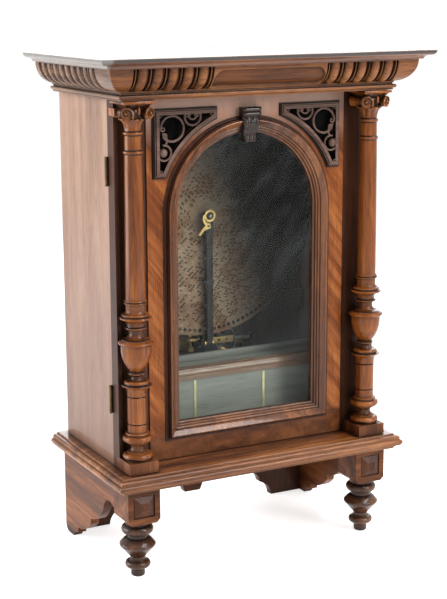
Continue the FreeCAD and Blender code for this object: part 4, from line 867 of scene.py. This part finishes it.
def sunk_panel(along, height):
    """Depth of the bare panel: a long box with round ends."""
    half_long, half_high, corner = 116.0, 25.5, 21.0
    side = max(abs(along) - half_long + corner, 0.0)
    tall = max(abs(height - 29.0) - half_high + corner, 0.0)
    outside = math.hypot(side, tall) - corner
    return -4.6 * min(1.0, max(0.0, 0.5 - outside / 1.6))


def quarter(along, share, carving):
    """A point of the quarter round, its carving pushed out square to its face."""
    turn = share * math.pi / 2
    swell = carving(along, share * FACE_TALL)
    reach = 4 + (REACH + swell) * math.cos(turn)
    return Vector((along, -reach, CREST - (DROP + swell) * math.sin(turn)))


def front_carving(along, height):
    return tongue(abs(along), 29.7, 122.5, 271.0) + sunk_panel(along, FACE_TALL - height)


def side_carving(along, height):
    return tongue(-along, 29.2, -95.0, 167.8)


print("a tongue stands", round(front_carving(137.3, 30) - front_carving(126.5, 30), 2), "mm proud")


# %% Mitre the cornice
HALF, LEAD, BACK = 281.0, -125.5, 190.5
OVERRUN = 46
BEAD = [
    (-18, 902), (-18, 918.6), (7.2, 918.6), (7.2, 915.9), (5.2, 914.9, 5.4, 912.9), (8.6, 912.6),
    (11, 909.2, 8.8, 905.8), (6.2, 905.4), (6.2, 902),
]


def push_wire(bm, rim, way):
    """Pushes a wire along; gives back its far points and far edges."""
    pushed = bmesh.ops.extrude_edge_only(bm, edges=rim)["geom"]
    far = only(BMVert, pushed)
    bmesh.ops.translate(bm, verts=far, vec=way)
    return far, [e for e in only(BMEdge, pushed) if all(v in far for v in e.verts)]


def run_of(steps, start, end, fine=6):
    """A moulding along X: an outline of reach and height, its reach towards -Y."""
    bm = bmesh.new()
    rim = wire(bm, trace(steps, fine), lambda p: (start, -p.x, p.y))[1]
    far_rim = push_wire(bm, rim, (end - start, 0, 0))[1]
    bmesh.ops.edgeloop_fill(bm, edges=rim)
    bmesh.ops.edgeloop_fill(bm, edges=far_rim)
    return bm


def front_cornice():
    span = HALF + OVERRUN
    sheet = carved_solid(600, 40, lambda s, t: quarter((2 * s - 1) * span, t, front_carving), 18)
    for face in sheet.faces:
        middle = face.calc_center_median()
        turn = math.atan2((CREST - middle.z) / DROP, (-middle.y - 4) / REACH)
        level = FACE_TALL - turn / (math.pi / 2) * FACE_TALL
        # The sunk panel's faces take the darker walnut, painted shade.
        if sunk_panel(middle.x, level) < -3.5 and middle.y < -8:
            face.material_index = 1
    pour(sheet, run_of(BEAD, -span, span))
    move(sheet, 0, LEAD, 0)
    for side in (-1, 1):
        slice_off(sheet, (side * HALF, LEAD, 0), (side, 1, 0))
    return sheet


def turn_round(bm, angle, axis):
    matrix = Matrix.Rotation(angle, 3, axis)
    bmesh.ops.rotate(bm, cent=(0, 0, 0), matrix=matrix, verts=bm.verts)


def side_cornice():
    low, high = -BACK, -LEAD + OVERRUN
    sheet = carved_solid(300, 22, lambda s, t: quarter(low + s * (high - low), t, side_carving), 18)
    pour(sheet, run_of(BEAD, low, high))
    turn_round(sheet, -math.pi / 2, "Z")
    move(sheet, -HALF, 0, 0)
    slice_off(sheet, (-HALF, LEAD, 0), (1, -1, 0))
    return sheet


settle(front_cornice(), "carved_front", [carved_x, sunk_shade_wood], "case",
       ["cornice_front"])
settle_pair(side_cornice(), "carved_side", carved_y, "case", "cornice")

# %% [markdown]
# ## Moulded boards
# The base and the inner rail carry runs of small mouldings that a joiner cut with
# planes: fillets, a quarter round, a nose and a hollow. For the base the outline is
# carried round three sides as a ladder of four-cornered rings, each a little further
# out or in than the last, so the mitres come by themselves. The raised diamonds on the
# foot blocks each start as one square face that is set in three times.

# %% Run the base moulding, the inner rail and the diamonds
BASE = [
    (14.5, 212), (17.2, 211.2, 18, 208.6), (20, 208.4), (25.4, 207, 26.4, 202.4), (26.4, 200.6),
    (28, 200.4), (31, 196, 28.4, 190.6), (28.2, 188.8), (26, 188.6), (22, 188, 20.4, 184.4),
    (18, 184.2), (18, 181),
]
RAIL = [
    (-7.4, 341), (2.6, 341), (2.6, 346.5), (4.4, 347), (4.4, 349.4), (6.6, 353.6, 5.2, 358.4),
    (3.4, 363.6, -1.4, 365.2), (-1.6, 366.8), (-7.4, 366.8),
]


def ringed_board(steps):
    """A board whose front and sides follow an outline of reach and height."""
    bm = bmesh.new()
    rings = []
    for spot in trace(steps, 6):
        wide, ahead = HALF + spot.x, LEAD - spot.x
        corners = ((-wide, BACK), (-wide, ahead), (wide, ahead), (wide, BACK))
        rings.append([bm.verts.new((x, y, spot.y)) for x, y in corners])
    for upper, lower in zip(rings, rings[1:]):
        for i in range(4):
            bm.faces.new((upper[i - 1], upper[i], lower[i], lower[i - 1]))
    bm.faces.new(rings[0])
    bm.faces.new(rings[-1])
    return bm


def step_in(bm, face, inward, outward):
    """Insets a face all round and moves it forward; gives back the new rim."""
    made = bmesh.ops.inset_region(bm, faces=[face], thickness=inward, depth=outward,
                                  use_boundary=True, use_even_offset=True)
    return made["faces"]


def open_rim(bm):
    return [e for e in bm.edges if len(e.link_faces) == 1]


def diamond(x, y, z, half, rise):
    """A low pyramid with a small flat top, facing forward."""
    bm = bmesh.new()
    corners = ((-half, -half), (half, -half), (half, half), (-half, half))
    face = bm.faces.new([bm.verts.new((x + i, y, z + k)) for i, k in corners])
    bm.normal_update()
    for inward, outward in ((0.3, 1.4), (half - 8.5, rise), (0.8, -0.7)):
        step_in(bm, face, inward, outward)
    bmesh.ops.edgeloop_fill(bm, edges=open_rim(bm))
    return bm


settle(ringed_board(BASE), "moulded_base", base_wood, "case", ["base_board"])
settle(run_of(RAIL, -261, 261), "rail_moulding", rail_wood, "case",
       ["front_rail"])
settle_pair(diamond(FOOT_X, -126.6, 146.5, 20.5, 6.2), "foot_diamond", stain_and_shade_wood, "case",
            smooth=20)

# %% [markdown]
# ## Door moulding
# A heavy moulding frames the arched glass. Next to the glass it steps up in thin
# members to a round crest; outside the crest a hollow, painted dark as shade, falls
# back to the door.
# The outline goes up one side and a quarter of the way round, and a mirror makes the
# other half. Its feet are cut at 45 degrees to meet the sill.

# %% Bend the moulding round the arch
SIGHT, SPRING, SILL, PANEL_Y = 147.0, 682.0, 282.0, -74.5
INNER_SIDE = [
    (0, -66.5), (0, -68.6), (2.2, -70.2, 4.2, -70.0), (4.2, -72.6), (5.8, -74.2, 7.6, -73.6),
    (8.4, -75.6), (10.6, -77.4, 12.8, -76.6), (13.4, -79.0), (14.4, -79.6),
    (18.9, -83.6, 22.4, -86.8), (24.6, -86.0, 25.4, -83.6), (25.4, -74.5), (10, -74.5), (10, -66.5),
]
# The outer hollow takes the dark walnut in slot 1: painted shade.
OUTER_SIDE = [
    (24.4, -80.6), (26.4, -80.6), (26.8, -78.2), (28.6, -75.8, 31.2, -76.0), (33, -76.0),
    (33, -74.4), (24.4, -74.4),
]


def half_arch(steps):
    """Right leg and a quarter of the arch, with a mitred foot, mirrored to a whole."""
    bm = bmesh.new()
    low = SILL - 40
    rim = wire(bm, trace(steps, 7), lambda p: (SIGHT + p.x, p.y, low))[1]
    top, top_rim = push_wire(bm, rim, (0, 0, SPRING - low))
    bmesh.ops.spin(bm, geom=top + top_rim, cent=(0, 0, SPRING), axis=(0, -1, 0),
                   angle=math.pi / 2, steps=40)
    slice_off(bm, (SIGHT, 0, SILL), (-1, 0, -1), close=False)
    bmesh.ops.mirror(bm, geom=bm.verts[:] + bm.edges[:] + bm.faces[:], axis="X", merge_dist=0.01)
    return bm


def sill(steps):
    """Lower member between the two feet."""
    bm = move(run_of([(-p.y, -p.x) for p in trace(steps, 7)], -200, 200), 0, 0, SILL)
    for side in (-1, 1):
        slice_off(bm, (side * SIGHT, 0, SILL), (side, 0, 1), close=False)
    return bm


def arch_frame():
    bm = half_arch(INNER_SIDE)
    pour(bm, sill(INNER_SIDE), 0)
    pour(bm, half_arch(OUTER_SIDE), 1)
    return pour(bm, sill(OUTER_SIDE), 1)


settle(arch_frame(), "arch_frame", [arch_wood, stain_and_shade_wood], "door",
       ["arch_moulding"])

# %% [markdown]
# ## Keystone
# At the crown of the arch sits a small scrolled block: two rolls at the head, and
# below them a fluted body that narrows and curls back. It is the same trick as the
# cornice: a sheet follows the side outline, and a rule adds three ridges.

# %% Carve the keystone
KEY_SIDE = trace([
    (878, -74.5), (878, -90.5), (873.5, -94.8, 869.2, -91), (865.2, -94.2, 861.2, -90.5),
    (859.2, -88.2), (848, -92, 837, -87.5), (826, -83.8, 816, -86.4), (812, -84.5), (812, -74.5),
], 8)


def key_point(across, down):
    spot = KEY_SIDE[round(down * (len(KEY_SIDE) - 1))]
    level, depth = spot
    body = min(1.0, max(0.0, (859 - level) / 6))
    narrow = 1 - 0.38 * min(1.0, max(0.0, (861 - level) / 48))
    ridge = math.cos((across - 0.5) * 6 * math.pi) * 1.1 * body
    rounded = 2.2 * (2 * across - 1) ** 8
    front = depth < -80
    x = (across - 0.5) * 38 * narrow
    return Vector((x, depth + (rounded - ridge if front else 0), level))


settle(carved_solid(30, len(KEY_SIDE) - 1, key_point, -74.0), "scroll_key", key_wood, "door",
       ["keystone"], smooth=50)

# %% [markdown]
# ## Scrollwork
# The corners above the arch hold pierced frets, and the capitals carry spiral volutes.
# Both are strands that wind round a hub. A strand starts as a small disc, and each
# step extrudes it, turns it a few degrees round the hub and draws it in a little, so
# it thins towards its eye as a carver makes it. Each stage says how tight its curl is;
# the hub moves in or out along the same spoke, which keeps the line smooth. Strands
# that leave one point start two degrees apart, so that their ends don't weld.

# %% Wind a strand
def strand(hub, angle, wide, thick, stages, y=0.0, sides=8):
    """A strand in a plane of constant Y. A stage is radius, degrees a step, steps, shrink."""
    bm = bmesh.new()
    turn = math.radians(angle)
    spoke = Vector((math.cos(turn), 0, math.sin(turn)))
    along = Vector((-math.sin(turn), 0, math.cos(turn)))
    centre = Vector((hub[0], y, hub[1]))
    spot = centre + spoke * stages[0][0]
    ring = Matrix((spoke * wide, Vector((0, thick, 0)), along)).transposed().to_4x4()
    bmesh.ops.create_circle(bm, segments=sides, radius=1, cap_ends=True,
                            matrix=Matrix.Translation(spot) @ ring)
    face = bm.faces[:][0]
    for radius, step, count, shrink in stages:
        centre = spot + (centre - spot).normalized() * radius
        turned = Matrix.Rotation(math.radians(step), 3, (0, -1, 0))
        for _ in range(count):
            grown = bmesh.ops.extrude_face_region(bm, geom=[face, *face.edges])["geom"]
            face = only(BMFace, grown)[0]
            bmesh.ops.rotate(bm, cent=centre, matrix=turned, verts=face.verts[:])
            bmesh.ops.scale(bm, vec=(shrink,) * 3, space=Matrix.Translation(-centre),
                            verts=face.verts[:])
            spot = centre + (turned @ (spot - centre)) * shrink
    return bm


def bead(x, y, z, radius, flat=1.0):
    """A small round boss, flattened towards the front."""
    bm = bmesh.new()
    bmesh.ops.create_uvsphere(bm, u_segments=18, v_segments=10, radius=radius)
    bmesh.ops.scale(bm, vec=(1, flat, 1), verts=bm.verts)
    return move(bm, x, y, z)


print("strands and beads ready")

# %% Saw the frets
FRET = [(-200.5, 753), (-174.1, 753), (-135.3, 812.6, -66.8, 857.7), (-66.8, 881.5),
        (-200.5, 881.5)]
# A step is inset, rise and slot; slot 1 is black: ebonised, and painted shadow beside the frame.
FRET_STEPS = [(0.4, 3.4, 1), (2.2, 0.0, 1), (0.5, 3.0, 1), (1.6, 0.0, 0), (1.2, 3.0, 0)]
FRET_RIM, CURL_Y = 5.6, -81.0


def fret_outline(y):
    """The fret's outer face, looking forward."""
    bm = bmesh.new()
    bm.faces.new([bm.verts.new((p.x, y, p.y)) for p in trace(FRET, 24)])
    bm.normal_update()
    return bm


def fret_frame():
    """Stepped frame round the fret, open in the middle, its outer steps black: ebonised, and
    painted with the shadow beside the proud frame.
    """
    bm = fret_outline(PANEL_Y)
    face = bm.faces[:][0]
    for inward, outward, stain in FRET_STEPS:
        for item in step_in(bm, face, inward, outward):
            item.material_index = stain
    step_in(bm, face, FRET_RIM, 0)
    # The wall of the opening is black, as painted shade inside it.
    for item in step_in(bm, face, 0.1, -8.9):
        item.material_index = 1
    bmesh.ops.delete(bm, geom=[face], context="FACES_ONLY")
    bmesh.ops.bridge_loops(bm, edges=open_rim(bm))
    return bm


def fret_ground():
    """Black cloth behind the fret."""
    bm = fret_outline(-68.6)
    face = bm.faces[:][0]
    bmesh.ops.delete(bm, geom=step_in(bm, face, 10.8, 0), context="FACES")
    grown = bmesh.ops.extrude_face_region(bm, geom=bm.faces[:])["geom"]
    bmesh.ops.translate(bm, verts=only(BMVert, grown), vec=(0, 1.0, 0))
    return bm


rim_wide = sum(step[0] for step in FRET_STEPS) + FRET_RIM
print("the fret's rim is", round(rim_wide, 1), "mm wide")


# %% Wind the curls of the frets
def twin_curl(hub, angle, wide, thick, radius, step, count, tip):
    """Two strands from one point, running opposite ways to a tight curl each."""
    for way in (-1, 1):
        stages = [(radius, way * step, count, 1.0), (tip, way * 26, 13, 0.93)]
        yield strand(hub, angle - way * 2, wide, thick, stages, CURL_Y)


def whole_fret():
    bm = fret_frame()
    pour(bm, fret_ground(), 2)
    big, small, low = (-162.5, 844.5), (-120.5, 865.5), (-179.0, 800.5)
    curls = [
        strand(big, 270, 2.4, 2.6, [(23.5, 10, 27, 1.0), (5.0, 26, 13, 0.93)], CURL_Y),
        strand(big, 272, 2.4, 2.6, [(23.5, -10, 5, 1.0), (5.0, -26, 13, 0.93)], CURL_Y),
        strand(low, 40, 2.2, 2.4, [(14.0, -10, 24, 1.0), (4.0, -26, 10, 0.93)], CURL_Y),
        strand(low, 42, 2.2, 2.4, [(14.0, 10, 6, 1.0)], CURL_Y),
        strand((-186.5, 823.5), 75, 2.2, 2.4, [(13.0, -10, 12, 1.0)], CURL_Y),
    ]
    curls += twin_curl(small, 270, 2.3, 2.5, 16.5, 10, 10, 4.6)
    curls += twin_curl((-120.5, 869.0), 270, 2.0, 2.2, 9.0, 12, 6, 2.6)
    for curl in curls:
        pour(bm, curl, 0)
    pour(bm, bead(-181.5, CURL_Y - 1.5, 801, 8.4, 0.7), 0)
    for x, z in ((-188.0, 869.5), (-80.5, 869.0), (-187.5, 764.5)):
        pour(bm, strand((x, z), 0, 1.0, 1.4, [(3.6, 29.5, 12, 1.0)], -83.4), 0)
        pour(bm, bead(x, -82.0, z, 2.2, 0.5), 1)
    return bm


cloth = old_metal("black_cloth", (0.004, 0.004, 0.004), (0.009, 0.007, 0.006), 0.7, 0.4)
settle_pair(whole_fret(), "pierced_fret", [fret_wood, ebony_and_shade_wood, cloth], "door",
            "spandrel_fret")

# %% [markdown]
# ## Capitals
# Each column ends in a bell of leaves, a collar of beads and four volutes under a
# square cap. The volutes are turned a little outwards, so from the front one shows its
# spiral and the other its side. Boxes for the cap start as cubes whose lower points are
# drawn in.

# %% Carve a capital
def block(low, high, edge=0.5, foot=(1.0, 1.0)):
    """A box between two corners, its lower face scaled, with its edges eased."""
    bm = bmesh.new()
    bmesh.ops.create_cube(bm, size=1.0)
    bmesh.ops.scale(bm, vec=Vector(high) - Vector(low), verts=bm.verts)
    bmesh.ops.scale(bm, vec=(*foot, 1), verts=[v for v in bm.verts if v.co.z < 0])
    move(bm, *(Vector(low) + Vector(high)) / 2)
    bmesh.ops.bevel(bm, geom=bm.edges[:], offset=edge, segments=2, profile=0.5,
                    affect="EDGES", material=-1)
    return bm


def volute(side, front, x, y, z):
    """A roll with a spiral wound on its end and an eye in the middle."""
    bm = bmesh.new()
    lying = Matrix.Translation((0, 15.5, 0)) @ Matrix.Rotation(math.pi / 2, 4, "X")
    bmesh.ops.create_cone(bm, cap_ends=True, segments=36, radius1=9.6, radius2=11.0, depth=26,
                          matrix=lying)
    start = -35 if side < 0 else 215
    turn = 12 if side < 0 else -12
    pour(bm, strand((0, 0), start, 2.1, 2.8, [(13.2, turn, 50, 0.971)], y=1.6))
    pour(bm, bead(0, 1.0, 0, 3.1, 1.0))
    if front > 0:
        bmesh.ops.scale(bm, vec=(1, -1, 1), verts=bm.verts)
    turn_round(bm, math.radians(-25 * side * front), "Z")
    return move(bm, x, y, z)


def fluted_bell(x, y):
    """Leaves round the neck: a lathe part whose radius swells eight times a turn."""
    bell = [(15.2, 847), (15.9, 857, 19.4, 864), (22.4, 866.8), (22.6, 868.6, 20.6, 870.2),
            (15, 871)]
    bm = lathe(bell, 0, 0, 96, 9)
    for vert in bm.verts:
        ring = math.hypot(vert.co.x, vert.co.y)
        leaf = abs(math.cos(4 * math.atan2(vert.co.y, vert.co.x) + 0.4))
        lift = 1 + 0.13 * (leaf - 0.7) * min(1.0, max(0.0, (vert.co.z - 846) / 8))
        if ring > 0.1:
            vert.co.x *= lift
            vert.co.y *= lift
    return move(bm, x, y, 0)


print("block, volute and bell ready")


# %% Put the capitals together
def capital(x, y):
    bm = fluted_bell(x, y)
    for i in range(8):
        turn = math.tau * (i + 0.43) / 8
        pour(bm, bead(x + 22.5 * math.cos(turn), y + 22.5 * math.sin(turn), 868.5, 2.8))
    pour(bm, block((x - 31, y - 31, 896.2), (x + 31, y + 31, 901), 0.8))
    pour(bm, block((x - 28, y - 28, 885), (x + 28, y + 28, 896.2), 0.4, (0.6, 0.6)))
    pour(bm, block((x - 15, y - 15, 868), (x + 15, y + 15, 887), 0.5))
    for side in (-1, 1):
        for front in (-1, 1):
            pour(bm, volute(side, front, x + side * 24, y + front * 27, 879.5))
    leaf = bead(x, y - 27.5, 884, 6.0, 0.6)
    bmesh.ops.scale(leaf, vec=(0.55, 1, 1.25), space=Matrix.Translation((-x, 0, -884)),
                    verts=leaf.verts)
    pour(bm, leaf)
    return pour(bm, block((-284, y + 8, 873.5), (x + 10, -71.6, 887.5), 0.5))


settle_pair(capital(COLUMN_X, COLUMN_Y), "carved_capital", column_wood, "door",
            "capital", smooth=40)

# %% [markdown]
# ## Brass strips and the bar's eye
# Two thin brass strips are let into the panel below the shelf. The iron bar that holds
# the disc down ends in an eye over the centre post. A thin brass ring is soldered round
# it, so the latch has something smooth to slide over, and small clips hold the rollers.

# %% Turn the eye ring and fit the strips
BAR_FACE, BAR_FACE_TOP = 82.1, 83.05
CLIP_LEVELS = {610: BAR_FACE_TOP, 561: BAR_FACE, 512: BAR_FACE, 463: BAR_FACE, 414: BAR_FACE}


def eye_ring(z, y, inner, outer, proud):
    """A flat ring round a post that points forward, spun and then laid on its side."""
    steps = [(inner, 0), (inner, proud - 0.2), (inner + 0.3, proud), (outer - 0.3, proud),
             (outer, proud - 0.2), (outer, 0)]
    bm = lathe(steps, 0, 0, 64, hollow=True)
    turn_round(bm, math.pi / 2, "X")
    return move(bm, 0, y, z)


def bar_clips():
    """Thin iron clips that hold the rollers' pins; the top one stays below the latch."""
    bm = bmesh.new()
    for level, face in CLIP_LEVELS.items():
        pour(bm, block((-8.8, face, level - 1.7), (8.8, 85.4, level + 1.7), 0.15))
    return bm


settle(eye_ring(DISC_HEIGHT * 1000, 83.5, 7.9, 12.7, 0.55), "eye_ring", brass, "pressure_bar")
settle(bar_clips(), "bar_clips", iron, "pressure_bar")

strips = bmesh.new()
for middle in (-77.5, 77.5):
    pour(strips, block((middle - 2.8, 0.7, 222), (middle + 2.8, 1.5, 338), 0.2))
settle(strips, "brass_strips", pale_brass, "case")
